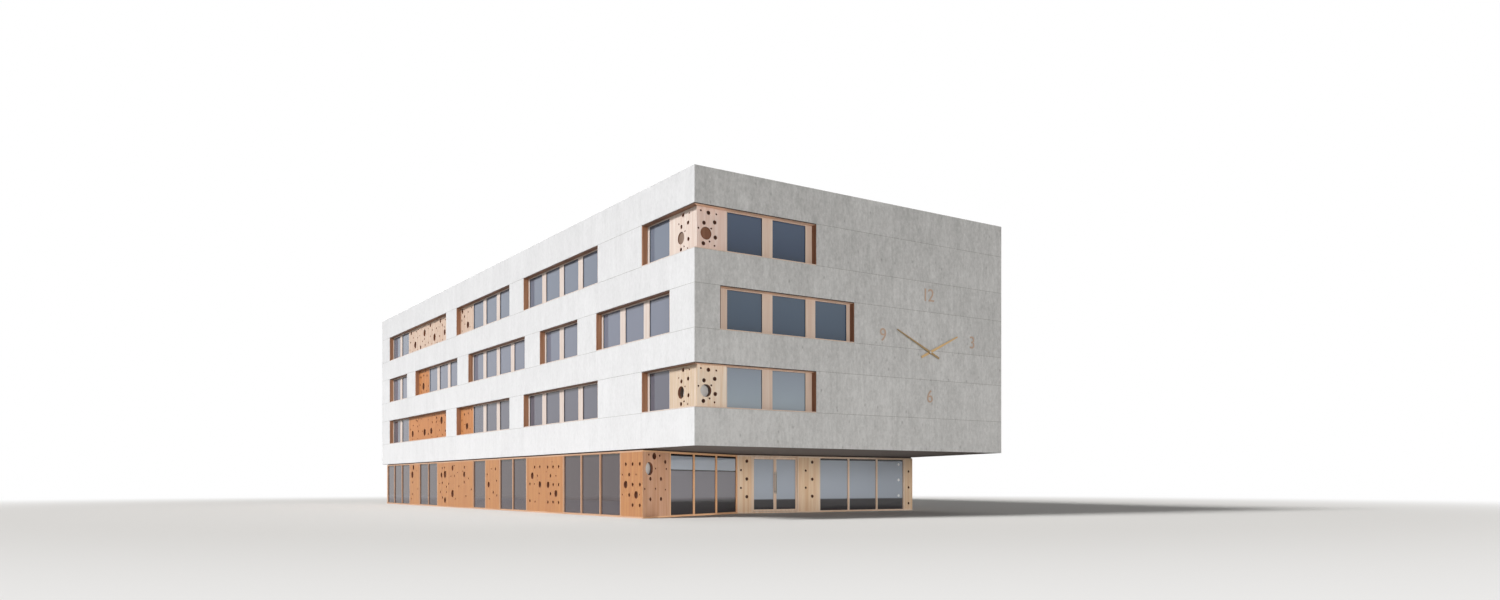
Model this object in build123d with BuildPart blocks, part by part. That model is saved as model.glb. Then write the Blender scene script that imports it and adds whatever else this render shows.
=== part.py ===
from build123d import *
from math import atan2, cos, radians, tan
import os

# School building at half its real size, in millimetres, +Z up.
# It stands on z = 0, with X along the clock front and Y along the long side.
# The origin is on the ground, at the middle of the whole building in plan.

# Upper storeys in plan
front_width = 9310.0
side_length = 25100.0
right_flare = 13.5
wall_thickness = 200.0

# Heights of the cast walls
soffit_height = 1600.0
sill_over_soffit = 812.0
window_height = 945.0
storey_height = 1675.0
storeys = 3
parapet_band = 793.0

# Floors
soffit_slab = 300.0
floor_slab = 175.0
head_to_slab = 42.0
roof_covering_thickness = 50.0

# Window bands on the module of the formwork
module = 1200.0
window_width = 920.0
window_lead = 160.0
band_lead = 140.0
band_end = 45.0
corner_pier = 300.0
front_window_start = 906.0
front_corner_band_end = 3228.0
front_middle_start = 640.0
front_middle_end = 4348.0
recess = 145.0
lining = 20.0
lining_setback = 8.0
board = 22.0
board_sill = 30.0
board_head = 45.0
pane = 12.0

# Rows of bands in modules from the clock front: first, last, boards before and after the windows
long_side_rows = [(4, 8, 0, 0), (9, 13, 0, 1), (14, 20, 4, 0)]
long_side_middle_rows = [(1, 4, 0, 0), (5, 7, 0, 0), (8, 12, 0, 0), (13, 17, 0, 1), (18, 20, 0, 0)]
right_rows = [(4, 8, 0, 0), (9, 13, 0, 0), (14, 20, 0, 0)]
right_middle_rows = [(1, 4, 0, 0), (5, 7, 0, 0), (8, 12, 0, 0), (13, 17, 0, 0), (18, 20, 0, 0)]
back_rows = [(1, 4, 0, 0), (6, 9, 0, 0), (10, 12, 0, 0)]
back_middle_rows = [(2, 5, 0, 0), (7, 11, 0, 0)]

# Perforated boards, with their round holes cut as prisms of few or many sides
large_hole = 135.0
medium_hole = 44.0
medium_hole_sides = 8
wide_hole_sides = 20

# Holes of the upper boards: distance from the clock corner, height over the sill, radius
front_corner_holes = [
    (370.0, 370.0, large_hole), (432.0, 815.0, medium_hole), (322.0, 585.0, medium_hole),
    (590.0, 630.0, medium_hole), (605.0, 307.0, medium_hole), (307.0, 146.0, medium_hole)
]
left_corner_holes = [
    (810.0, 365.0, large_hole), (717.0, 845.0, medium_hole), (794.0, 605.0, medium_hole),
    (509.0, 642.0, medium_hole), (496.0, 286.0, medium_hole), (811.0, 115.0, medium_hole)
]
long_side_low_holes = [
    (14900.0, 300.0, 110.0), (15160.0, 700.0, medium_hole), (17640.0, 640.0, 130.0),
    (17200.0, 250.0, medium_hole), (18200.0, 760.0, medium_hole), (18840.0, 315.0, 115.0),
    (19660.0, 300.0, 130.0), (20466.0, 372.0, medium_hole), (20603.0, 763.0, medium_hole),
    (21206.0, 300.0, 120.0)
]
long_side_middle_holes = [
    (19360.0, 700.0, medium_hole), (19800.0, 330.0, 130.0), (20120.0, 690.0, medium_hole)
]
long_side_top_holes = [
    (14810.0, 300.0, 110.0), (15157.0, 618.0, medium_hole), (15362.0, 820.0, 80.0),
    (17277.0, 363.0, 101.0), (17767.0, 821.0, 73.0), (18459.0, 323.0, 130.0),
    (18956.0, 825.0, 73.0), (19664.0, 630.0, 130.0), (20159.0, 150.0, 73.0),
    (20861.0, 316.0, 130.0), (21382.0, 825.0, 73.0)
]

# Holes of the ground floor boards: distance back from the clock front, height, radius
ground_left_holes = [
    (2490.0, 1257.0, medium_hole), (2844.0, 1257.0, medium_hole), (3190.0, 1257.0, medium_hole),
    (3019.0, 1013.0, medium_hole), (2490.0, 778.0, medium_hole), (2844.0, 778.0, medium_hole),
    (3197.0, 778.0, 90.0), (2671.0, 540.0, 90.0), (3019.0, 534.0, medium_hole),
    (2490.0, 300.0, medium_hole), (2844.0, 300.0, medium_hole), (7113.0, 1257.0, medium_hole),
    (7483.0, 1257.0, medium_hole), (7849.0, 1257.0, medium_hole), (8403.0, 1270.0, medium_hole),
    (8781.0, 1270.0, medium_hole), (7660.0, 1015.0, medium_hole), (8954.0, 1030.0, 95.0),
    (7113.0, 779.0, medium_hole), (7474.0, 779.0, medium_hole), (7823.0, 773.0, 88.0),
    (8403.0, 784.0, 88.0), (9124.0, 796.0, medium_hole), (7293.0, 539.0, 92.0),
    (7660.0, 530.0, medium_hole), (7113.0, 302.0, medium_hole), (7480.0, 302.0, medium_hole),
    (7834.0, 302.0, medium_hole), (9124.0, 319.0, medium_hole), (11900.0, 1257.0, medium_hole),
    (12500.0, 778.0, 90.0), (12100.0, 540.0, medium_hole), (14833.0, 1113.0, 92.0),
    (14819.0, 858.0, medium_hole), (14819.0, 1345.0, medium_hole), (16043.0, 1338.0, 90.0),
    (16043.0, 467.0, 125.0), (16862.0, 1130.0, 125.0), (17256.0, 1108.0, 90.0),
    (17176.0, 838.0, medium_hole), (16706.0, 700.0, medium_hole), (17137.0, 324.0, medium_hole),
    (16860.0, 240.0, 100.0), (20827.0, 1148.0, 130.0), (20687.0, 1420.0, 90.0),
    (20780.0, 860.0, medium_hole), (20827.0, 417.0, medium_hole)
]

# Holes of the diagonal board, along it from the long side, and of the recessed front's boards
diagonal_holes = [
    (275.0, 1149.0, 152.0), (484.0, 1440.0, 78.0), (956.0, 1318.0, medium_hole),
    (320.0, 914.0, medium_hole), (771.0, 914.0, medium_hole), (320.0, 441.0, medium_hole),
    (771.0, 441.0, medium_hole)
]
hole_heights = [1410.0, 930.0, 450.0]
entrance_board_column = 300.0
recess_board_column = 2521.0

# Ground floor in plan
ground_setback = 25.0
diagonal_start = 2350.0
recess_front = 4480.0
recess_left = 4025.0
back_overhang = 660.0
ground_wall = 80.0

# Glazed stretches of the ground floor, along the wall, with their number of bays
left_glazing = [
    (3478.0, 6805.0, 3), (9398.0, 11540.0, 2), (12800.0, 13940.0, 1), (17740.0, 19890.0, 2)
]
last_left_glazing = 21180.0
diagonal_glazing = 1180.0
recess_glazing = (2785.0, 6000.0)
glazing_bays = 3
glazed_length = 3300.0
boarded_length = 2400.0
narrow_board_end = 470.0
entrance_end = 2050.0

# Ground floor frames, boards and panes
rail_height = 35.0
post_width = 45.0
shadow_gap = 30.0
packer_setback = 30.0
packer_joint = 2.0
panel_thickness = 50.0
ground_pane = 14.0
pane_setback = 30.0

# Entrance doors
jamb_gap = 12.0
meeting_gap = 8.0
leaf_clearance = 6.0
leaf_thickness = 30.0
leaf_stile = 45.0
leaf_rail = 60.0
leaf_pane = 8.0
pivot_in = 18.0
pivot_radius = 6.0
pivot_play = 0.08
pivot_depth = 20.0
pull_bar = 18.0
pull_length = 600.0
pull_height = 525.0
pull_standoff = 40.0
pull_in = 60.0
pull_arm = 12.0

# Clock
clock_x = 6737.0
clock_z = 4035.0
spindle_radius = 14.0
spindle_flange = 45.0
spindle_flange_thickness = 8.0
hub_radius = 40.0
hub_play = 0.1
hand_thickness = 8.0
hand_standoff = 24.0
hand_gap = 8.0
hour_hand_length = 1050.0
hour_hand_tail = 315.0
hour_hand_width = 62.0
hour_hand_turn = 64.3
minute_hand_length = 1190.0
minute_hand_tail = 325.0
minute_hand_width = 50.0
minute_hand_turn = 293.7
cap_radius = 28.0
cap_thickness = 6.0
cap_play = 1.0

# Levels worked out from the sizes above
sills = [soffit_height + sill_over_soffit + n * storey_height for n in range(storeys)]
heads = [sill + window_height for sill in sills]
roof_height = heads[-1] + parapet_band
frame_top = soffit_height - shadow_gap
panel_low = rail_height
panel_high = frame_top - rail_height
panel_height = panel_high - panel_low
opening_height = window_height - board_sill - board_head

# Layers of the clock, out from the wall
hour_hand_at = hand_standoff
minute_hand_at = hour_hand_at + hand_thickness + hand_gap
cap_at = minute_hand_at + hand_thickness + cap_play
clock_reach = cap_at + cap_thickness


class Wall:
    """A straight outer face of a closed plan, walked with the rooms on its left."""

    def __init__(self, before, start, end, after):
        self.start = Vector(*start)
        run = Vector(*end) - self.start
        self.length = run.length
        self.along = run.normalized()
        self.inward = Vector(-self.along.Y, self.along.X)
        self.heading = atan2(run.Y, run.X)
        turn_in = self.heading - atan2(start[1] - before[1], start[0] - before[0])
        turn_out = atan2(after[1] - end[1], after[0] - end[0]) - self.heading
        self.start_mitre = tan(turn_in / 2)
        self.end_mitre = tan(turn_out / 2)

    def point(self, along, depth):
        place = self.start + self.along * along + self.inward * depth
        return (place.X, place.Y)

    def strip(self, low, high, front, back):
        """Outline in plan of a length of wall between two depths, mitred at the corners."""
        corners = []
        for depth, ends in ((front, (low, high)), (back, (high, low))):
            for end in ends:
                shift = 0
                if end <= 0:
                    shift = depth * self.start_mitre
                if end >= self.length:
                    shift = -depth * self.end_mitre
                corners.append(self.point(min(max(end, 0), self.length) + shift, depth))
        return corners

    def face(self, depth=0.0):
        """Plane of the wall's outer face, X along it and Y up, moved in by a depth."""
        x, y = self.point(0, depth)
        return Plane(origin=(x, y, 0), x_dir=self.along, z_dir=-self.inward)


def walls_round(corners):
    count = len(corners)
    return [
        Wall(corners[n - 1], corners[n], corners[(n + 1) % count], corners[(n + 2) % count])
        for n in range(count)
    ]


def strip_face(wall, low, high, front, back, level):
    with BuildSketch(Plane.XY.offset(level)) as strip:
        with BuildLine():
            Polyline(*wall.strip(low, high, front, back), close=True)
        make_face()
    return strip.sketch


def room_face(walls, depth, level):
    """The plan inside a ring of walls at a depth behind their outer faces."""
    with BuildSketch(Plane.XY.offset(level)) as room:
        with BuildLine():
            Polyline(*[wall.point(depth * wall.start_mitre, depth) for wall in walls], close=True)
        make_face()
    return room.sketch


def holes_face(plane, holes):
    """Outlines of round holes given by place, height and radius."""
    with BuildSketch(plane) as outlines:
        for along, height, radius in holes:
            with Locations((along, height)):
                sides = wide_hole_sides if radius > medium_hole else medium_hole_sides
                RegularPolygon(radius, sides)
    return outlines.sketch


def write(piece, name):
    piece.part.label = name
    export_step(piece.part, f"parts/{name}.step")


def flare_x(y, setback=0.0):
    """Place of the flared right face at a distance back from the clock front."""
    return front_width + y * tan(radians(right_flare)) - setback / cos(radians(right_flare))


def placed(x, y):
    """A place given from the clock corner, as measured from the middle of the plan."""
    return x - flare_x(side_length) / 2, y - (side_length - clock_reach) / 2


front, right, back, left = walls_round([
    placed(0.0, 0.0),
    placed(front_width, 0.0),
    placed(flare_x(side_length), side_length),
    placed(0.0, side_length),
])

ground_back_y = side_length - back_overhang
diagonal, recess_wall, ground_right, ground_back, ground_left = walls_round([
    placed(ground_setback, diagonal_start),
    placed(recess_left, recess_front),
    placed(flare_x(recess_front, ground_setback), recess_front),
    placed(flare_x(ground_back_y, ground_setback), ground_back_y),
    placed(ground_setback, ground_back_y),
])
ground_walls = [diagonal, recess_wall, ground_right, ground_back, ground_left]


class Band:
    """A strip of windows and perforated boards let into a cast wall on one storey."""

    def __init__(self, wall, storey, start, end, windows, boards=()):
        self.wall = wall
        self.storey = storey
        self.start = start
        self.end = end
        self.windows = windows
        self.boards = boards


def module_band(wall, storey, first, last, before, after, from_end):
    """A band that fills modules first + 1 to last, with boards before or after its windows."""
    low = first * module - band_lead
    high = last * module - band_end
    glazed = range(min(first + before, last - 1) + 1, last - after + 1)
    edges = [(n * module - window_lead - window_width, n * module - window_lead) for n in glazed]
    plates = []
    if before:
        plates.append((low + lining, edges[0][0] - board))
    if after:
        plates.append((edges[-1][1] + board, high - lining))
    if from_end:
        low, high = wall.length - high, wall.length - low
        edges = [(wall.length - b, wall.length - a) for a, b in edges]
        plates = [(wall.length - b, wall.length - a) for a, b in plates]
    return Band(wall, storey, low, high, edges, plates)


def module_bands(wall, storey, rows, from_end=False):
    """The bands of one storey, in the whole modules that leave a pier at the wall's far corner."""
    count = int((wall.length - corner_pier) // module)
    return [
        module_band(wall, storey, first, min(last, count), before, after, from_end)
        for first, last, before, after in rows
        if first + 1 < min(last, count)
    ]


def front_windows(count):
    places = [front_window_start + n * module for n in range(count)]
    return [(place, place + window_width) for place in places]


def left_corner_band(storey):
    """The short end of the band that wraps the clock corner, on the long side."""
    window_far = 2 * module - window_lead
    low = left.length - (2 * module - band_end)
    window = (left.length - window_far, left.length - window_far + window_width)
    return Band(left, storey, low, left.length, [window], [(window[1] + board, left.length)])


front_bands = [
    Band(front, 0, 0.0, front_corner_band_end, front_windows(2), [(0.0, front_window_start - board)]),
    Band(front, 1, front_middle_start, front_middle_end, front_windows(3)),
    Band(front, 2, 0.0, front_corner_band_end, front_windows(2), [(0.0, front_window_start - board)]),
]
left_bands = module_bands(left, 1, long_side_middle_rows, from_end=True)
right_bands = module_bands(right, 1, right_middle_rows)
back_bands = module_bands(back, 1, back_middle_rows)
for storey in (0, 2):
    left_bands.append(left_corner_band(storey))
    left_bands += module_bands(left, storey, long_side_rows, from_end=True)
    right_bands += module_bands(right, storey, right_rows)
    back_bands += module_bands(back, storey, back_rows)


def make_spandrels(wall, name):
    """The cast strips below, between and above the rows of windows."""
    lows = [soffit_height] + heads
    highs = sills + [roof_height]
    with BuildPart() as spandrels:
        for low, high in zip(lows, highs):
            extrude(strip_face(wall, 0, wall.length, 0, wall_thickness, low), amount=high - low)
    write(spandrels, name)


def make_piers(wall, bands, name):
    """The cast lengths of wall between the windows of each storey."""
    with BuildPart() as piers:
        for storey, sill in enumerate(sills):
            place = 0.0
            row = sorted((band.start, band.end) for band in bands if band.storey == storey)
            for start, end in row + [(wall.length, wall.length)]:
                if start - place > lining:
                    face = strip_face(wall, place, start, 0, wall_thickness, sill)
                    extrude(face, amount=window_height)
                place = end
    write(piers, name)


def window_span(band):
    """Ends of the boarded part of a band that holds its windows."""
    low = min(start for start, end in band.windows) - board
    high = max(end for start, end in band.windows) + board
    if not any(end <= low for start, end in band.boards):
        low = band.start + lining
    if not any(start >= high for start, end in band.boards):
        high = band.end - lining
    return low, high


def make_frames(bands, name):
    """Timber linings of each band, with the flush boards round its windows."""
    with BuildPart() as frames:
        for band in bands:
            wall = band.wall
            sill = sills[band.storey]
            for level in (sill, sill + window_height - lining):
                face = strip_face(wall, band.start, band.end, lining_setback, wall_thickness, level)
                extrude(face, amount=lining)
            for low, high in ((band.start, band.start + lining), (band.end - lining, band.end)):
                if low > 0 and high < wall.length:
                    face = strip_face(wall, low, high, lining_setback, wall_thickness, sill)
                    extrude(face, amount=window_height)
            low, high = window_span(band)
            extrude(strip_face(wall, low, high, recess, recess + board, sill), amount=window_height)
            with BuildSketch(wall.face(recess)):
                for start, end in band.windows:
                    with Locations(((start + end) / 2, sill + board_sill + opening_height / 2)):
                        Rectangle(end - start, opening_height)
            extrude(amount=-board, mode=Mode.SUBTRACT)
    write(frames, name)


def make_glass(bands, name):
    """One sheet behind the boards of each band."""
    with BuildPart() as glass:
        for band in bands:
            low, high = window_span(band)
            if low > band.start + lining:
                low += board / 2
            if high < band.end - lining:
                high -= board / 2
            level = sills[band.storey] + lining
            face = strip_face(band.wall, low, high, recess + board, recess + board + pane, level)
            extrude(face, amount=window_height - 2 * lining)
    write(glass, name)


def make_boards(bands, name, storey_holes):
    """Thick perforated boards that fill the rest of each band."""
    with BuildPart() as boards:
        for band in bands:
            wall = band.wall
            sill = sills[band.storey]
            for low, high in band.boards:
                face = strip_face(wall, low, high, recess, wall_thickness, sill + lining)
                extrude(face, amount=window_height - 2 * lining)
                holes = []
                for distance, over_sill, radius in storey_holes[band.storey]:
                    along = distance if wall is front else wall.length - distance
                    if low + radius < along < high - radius:
                        holes.append((along, sill + over_sill, radius))
                if holes:
                    outlines = holes_face(wall.face(recess), holes)
                    extrude(outlines, amount=recess - wall_thickness, mode=Mode.SUBTRACT)
    write(boards, name)


def make_slab(walls, depth, level, thickness, name):
    with BuildPart() as slab:
        extrude(room_face(walls, depth, level), amount=thickness)
    write(slab, name)


os.makedirs("parts", exist_ok=True)

make_slab(ground_walls, ground_wall, 0.0, rail_height, "ground_slab")
upper_walls = [front, right, back, left]
make_slab(upper_walls, wall_thickness, soffit_height, soffit_slab, "first_floor_slab")
for head, name in zip(heads, ("second_floor_slab", "third_floor_slab", "roof_slab")):
    make_slab(upper_walls, wall_thickness, head + head_to_slab, floor_slab, name)
roof_level = heads[-1] + head_to_slab + floor_slab
make_slab(upper_walls, wall_thickness, roof_level, roof_covering_thickness, "roof_covering")

for wall, bands, name in (
    (front, front_bands, "front"),
    (right, right_bands, "right"),
    (back, back_bands, "back"),
    (left, left_bands, "left"),
):
    make_spandrels(wall, f"{name}_spandrels")
    make_piers(wall, bands, f"{name}_piers")
    make_frames(bands, f"{name}_window_frames")
    make_glass(bands, f"{name}_window_glass")
make_boards(
    [band for band in front_bands if band.boards], "front_perforated_boards",
    [front_corner_holes, [], front_corner_holes]
)
make_boards(
    [band for band in left_bands if band.boards], "left_perforated_boards",
    [
        left_corner_holes + long_side_low_holes,
        long_side_middle_holes,
        left_corner_holes + long_side_top_holes,
    ]
)


def post_span(wall, place):
    """Both sides of a post along a wall, wider where it turns a corner."""
    low = place - post_width / 2
    high = place + post_width / 2
    if low <= 0:
        return 0.0, post_width + max(0.0, ground_wall * wall.start_mitre)
    if high >= wall.length:
        return wall.length - post_width - max(0.0, ground_wall * wall.end_mitre), wall.length
    return low, high


def glazing_posts(wall, stretch):
    """Both sides of each post of a glazed stretch, its two ends included."""
    start, end, bays = stretch
    pitch = (end - start) / bays
    return [post_span(wall, start + n * pitch) for n in range(bays + 1)]


def make_ground_frame(wall, low, high, stretches, name):
    """Sole rail, head rail and posts of one ground floor wall."""
    with BuildPart() as frame:
        for level in (0.0, frame_top - rail_height):
            extrude(strip_face(wall, low, high, 0, ground_wall, level), amount=rail_height)
        for stretch in stretches:
            for start, end in glazing_posts(wall, stretch):
                extrude(strip_face(wall, start, end, 0, ground_wall, 0.0), amount=frame_top)
    write(frame, name)


def make_ground_panes(wall, stretches, name):
    """Full-height panes between the posts."""
    back_face = pane_setback + ground_pane
    with BuildPart() as panes:
        for stretch in stretches:
            posts = glazing_posts(wall, stretch)
            for before, after in zip(posts, posts[1:]):
                face = strip_face(wall, before[1], after[0], pane_setback, back_face, panel_low)
                extrude(face, amount=panel_height)
    write(panes, name)


def board_spans(wall, low, high, stretches):
    """The lengths of a ground floor wall that its glazed stretches leave to boards."""
    spans = []
    first = low
    for stretch in stretches:
        posts = glazing_posts(wall, stretch)
        spans.append((first, posts[0][0]))
        first = posts[-1][1]
    spans.append((first, high))
    return [(start, end) for start, end in spans if end - start > post_width]


def make_ground_panels(wall, low, high, stretches, holes, name):
    """Perforated boards between the glazed stretches, from the sole rail to the head rail."""
    with BuildPart() as panels:
        for start, end in board_spans(wall, low, high, stretches):
            extrude(strip_face(wall, start, end, 0, panel_thickness, panel_low), amount=panel_height)
            kept = [hole for hole in holes if start + hole[2] < hole[0] < end - hole[2]]
            if kept:
                outlines = holes_face(wall.face(), kept)
                extrude(outlines, amount=-panel_thickness, mode=Mode.SUBTRACT)
    write(panels, name)


def along_left(distance):
    """Place on the long ground wall of a distance back from the clock front."""
    return ground_left.length - (distance - diagonal_start)


left_stretches = sorted(
    (along_left(far), along_left(near), bays)
    for near, far, bays in left_glazing + [(last_left_glazing, ground_back_y, glazing_bays)]
)
diagonal_stretches = [(diagonal_glazing, diagonal.length, glazing_bays)]


def even_stretches(wall):
    """Boarded and glazed lengths in turn along an unseen wall."""
    stretches = []
    place = boarded_length
    while place + glazed_length + boarded_length / 2 < wall.length:
        stretches.append((place, place + glazed_length, glazing_bays))
        place += glazed_length + boarded_length
    return stretches


right_stretches = even_stretches(ground_right)
back_stretches = even_stretches(ground_back)

left_holes = [(along_left(back_by), height, radius) for back_by, height, radius in ground_left_holes]

make_ground_frame(ground_left, 0, ground_left.length, left_stretches, "ground_left_frame")
make_ground_panes(ground_left, left_stretches, "ground_left_glass")
make_ground_panels(
    ground_left, 0, ground_left.length, left_stretches, left_holes, "ground_left_perforated_boards"
)
make_ground_frame(diagonal, 0, diagonal.length, diagonal_stretches, "ground_diagonal_frame")
make_ground_panes(diagonal, diagonal_stretches, "ground_diagonal_glass")
make_ground_panels(
    diagonal, 0, diagonal.length, diagonal_stretches, diagonal_holes, "ground_diagonal_perforated_board"
)
for wall, stretches, name in (
    (ground_right, right_stretches, "ground_right"),
    (ground_back, back_stretches, "ground_back"),
):
    make_ground_frame(wall, 0, wall.length, stretches, f"{name}_frame")
    make_ground_panes(wall, stretches, f"{name}_glass")
    make_ground_panels(wall, 0, wall.length, stretches, [], f"{name}_boards")

# Recessed front: a narrow board, the entrance, a wider board, a glazed stretch and an end board
recess_stretches = [(*recess_glazing, glazing_bays)]
recess_holes = [(recess_board_column, height, medium_hole) for height in hole_heights]
make_ground_frame(
    recess_wall, entrance_end, recess_wall.length, recess_stretches, "ground_recess_frame"
)
make_ground_panes(recess_wall, recess_stretches, "ground_recess_glass")
make_ground_panels(
    recess_wall, entrance_end, recess_wall.length, recess_stretches, recess_holes,
    "ground_recess_perforated_boards"
)

# Entrance: a narrow perforated board beside a pair of doors under one head rail
door_low = narrow_board_end + post_width / 2
door_high = entrance_end - post_width
leaf_bottom = rail_height + leaf_clearance
leaf_top = frame_top - rail_height - leaf_clearance
leaf_width = (door_high - door_low - 2 * jamb_gap - meeting_gap) / 2
leaf_front = (ground_wall - leaf_thickness) / 2
leaf_middle = leaf_front + leaf_thickness / 2
pivots = [door_low + jamb_gap + pivot_in, door_high - jamb_gap - pivot_in]

with BuildPart() as entrance_frame:
    for level in (0.0, frame_top - rail_height):
        extrude(strip_face(recess_wall, 0, entrance_end, 0, ground_wall, level), amount=rail_height)
    for start in (0.0, door_low - post_width, door_high):
        face = strip_face(recess_wall, start, start + post_width, 0, ground_wall, 0.0)
        extrude(face, amount=frame_top)
    for level in (0.0, frame_top - rail_height):
        with BuildSketch(Plane.XY.offset(level)):
            with Locations(*[recess_wall.point(place, leaf_middle) for place in pivots]):
                Circle(pivot_radius + pivot_play)
        extrude(amount=rail_height, mode=Mode.SUBTRACT)
write(entrance_frame, "entrance_frame")

with BuildPart() as entrance_board:
    face = strip_face(recess_wall, post_width, door_low - post_width, 0, panel_thickness, panel_low)
    extrude(face, amount=panel_height)
    column = [(entrance_board_column, height, medium_hole) for height in hole_heights]
    extrude(holes_face(recess_wall.face(), column), amount=-panel_thickness, mode=Mode.SUBTRACT)
write(entrance_board, "entrance_perforated_board")


def make_leaf(name, start, pivot, pull_at):
    """One glazed door leaf, its pane, its pivot pins and its pull."""
    end = start + leaf_width
    height = leaf_top - leaf_bottom
    with BuildPart() as leaf:
        face = strip_face(recess_wall, start, end, leaf_front, leaf_front + leaf_thickness, leaf_bottom)
        extrude(face, amount=height)
        with BuildSketch(recess_wall.face(leaf_front)):
            with Locations(((start + end) / 2, leaf_bottom + height / 2)):
                Rectangle(leaf_width - 2 * leaf_stile, height - 2 * leaf_rail)
        extrude(amount=-leaf_thickness, mode=Mode.SUBTRACT)
    write(leaf, f"{name}_door_leaf")

    with BuildPart() as pane_of_leaf:
        face = strip_face(
            recess_wall, start + leaf_stile, end - leaf_stile,
            leaf_middle - leaf_pane / 2, leaf_middle + leaf_pane / 2, leaf_bottom + leaf_rail
        )
        extrude(face, amount=height - 2 * leaf_rail)
    write(pane_of_leaf, f"{name}_door_glass")

    with BuildPart() as pins:
        for level, amount in ((leaf_bottom, -pivot_depth), (leaf_top, pivot_depth)):
            with BuildSketch(Plane.XY.offset(level)):
                with Locations(recess_wall.point(pivot, leaf_middle)):
                    Circle(pivot_radius)
            extrude(amount=amount)
    write(pins, f"{name}_door_pivots")

    with BuildPart() as pull:
        with BuildSketch(Plane.XY.offset(pull_height)):
            with Locations(recess_wall.point(pull_at, leaf_front - pull_standoff)):
                Rectangle(pull_bar, pull_bar)
        extrude(amount=pull_length)
        with BuildSketch(recess_wall.face(leaf_front)):
            with Locations(
                (pull_at, pull_height + pull_in), (pull_at, pull_height + pull_length - pull_in)
            ):
                Rectangle(pull_arm, pull_arm)
        extrude(amount=pull_standoff)
    write(pull, f"{name}_door_pull")


leaf_starts = [door_low + jamb_gap, door_high - jamb_gap - leaf_width]
make_leaf("left", leaf_starts[0], pivots[0], leaf_starts[0] + leaf_width - leaf_stile / 2)
make_leaf("right", leaf_starts[1], pivots[1], leaf_starts[1] + leaf_stile / 2)

# Dark packers that close the gap between the ground floor frames and the soffit
with BuildPart() as head_packers:
    for wall in ground_walls:
        face = strip_face(wall, 0, wall.length, packer_setback, ground_wall, frame_top)
        extrude(face, amount=shadow_gap)
    for wall in ground_walls:
        with BuildSketch(Plane.XY.offset(frame_top)):
            with BuildLine():
                inner = wall.point(2 * ground_wall * wall.start_mitre, 2 * ground_wall)
                Line(wall.point(0, 0), inner)
            trace(line_width=packer_joint)
        extrude(amount=shadow_gap, mode=Mode.SUBTRACT)
write(head_packers, "head_packers")


# Clock on the cast front
def clock_plane(distance):
    """Plane in front of the clock wall, X to the right and Y up, seen from outside."""
    return Plane(origin=(*placed(clock_x, -distance), clock_z), x_dir=(1, 0, 0), z_dir=(0, -1, 0))


with BuildPart() as clock_spindle:
    with BuildSketch(clock_plane(0)):
        Circle(spindle_flange)
    extrude(amount=spindle_flange_thickness)
    with BuildSketch(clock_plane(0)):
        Circle(spindle_radius)
    extrude(amount=cap_at)
    with BuildSketch(clock_plane(cap_at)):
        Circle(cap_radius)
    extrude(amount=cap_thickness)
write(clock_spindle, "clock_spindle")


def make_hand(name, distance, length, tail, width, turn):
    """A straight tapered bar on a round hub, turned clockwise from twelve."""
    with BuildPart() as hand:
        with BuildSketch(clock_plane(distance)):
            with Locations(Rotation(0, 0, -turn)):
                with Locations((0, (length - tail) / 2)):
                    Rectangle(width, length + tail)
                Circle(hub_radius)
                Circle(spindle_radius + hub_play, mode=Mode.SUBTRACT)
        extrude(amount=hand_thickness)
    write(hand, name)


make_hand("hour_hand", hour_hand_at, hour_hand_length, hour_hand_tail, hour_hand_width, hour_hand_turn)
make_hand(
    "minute_hand", minute_hand_at, minute_hand_length, minute_hand_tail, minute_hand_width,
    minute_hand_turn
)
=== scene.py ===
import functools
import math

import bmesh
import bpy
from bpy.props import FloatProperty, FloatVectorProperty, IntProperty, PointerProperty
from mathutils import Matrix, Vector


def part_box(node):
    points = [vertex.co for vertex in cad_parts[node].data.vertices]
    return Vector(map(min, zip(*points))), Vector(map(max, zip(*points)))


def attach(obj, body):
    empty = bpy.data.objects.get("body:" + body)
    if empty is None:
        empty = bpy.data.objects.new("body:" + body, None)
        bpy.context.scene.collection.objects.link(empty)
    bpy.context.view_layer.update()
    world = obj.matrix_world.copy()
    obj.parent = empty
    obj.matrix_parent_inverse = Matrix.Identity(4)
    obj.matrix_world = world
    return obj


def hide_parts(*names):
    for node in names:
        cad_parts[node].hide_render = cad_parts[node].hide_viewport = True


bl_info = {
    "name": "School building finish",
    "version": (1, 0, 0),
    "blender": (4, 5, 0),
    "location": "3D View > Sidebar > School",
    "description": "Finishes a school building with cast walls, timber window bands and a clock",
    "category": "Object",
}

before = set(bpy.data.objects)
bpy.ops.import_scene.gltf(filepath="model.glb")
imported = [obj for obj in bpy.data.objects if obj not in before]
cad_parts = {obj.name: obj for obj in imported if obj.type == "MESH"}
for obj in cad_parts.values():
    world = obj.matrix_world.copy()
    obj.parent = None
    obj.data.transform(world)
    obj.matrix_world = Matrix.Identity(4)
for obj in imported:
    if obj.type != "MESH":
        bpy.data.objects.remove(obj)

# The way up, and tolerances: points that are one, faces that are flat, pieces that touch,
# and the gap that keeps one face off another
UP = Vector((0, 0, 1))
WELD = 1e-5
FLAT = math.radians(0.5)
TOUCH = 0.002
HAIR = 0.0005

# Cosines between a face and a direction: along it, nearly so, midway, aslant, and square to it
ALONG, NEARLY, MIDWAY, ASLANT, SQUARE = 0.99, 0.9, 0.5, 0.3, 0.05

WALLS = ("front", "right", "back", "left")
GROUND_WALLS = ("ground_left", "ground_diagonal", "ground_recess", "ground_right", "ground_back")

# Ground floor walls whose posts, rails and glass have finishes of their own, coloured for the light
# on each wall: painted light
TIMBER_KINDS = {"ground_left": "sunny_", "ground_diagonal": "diagonal_"}

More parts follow.
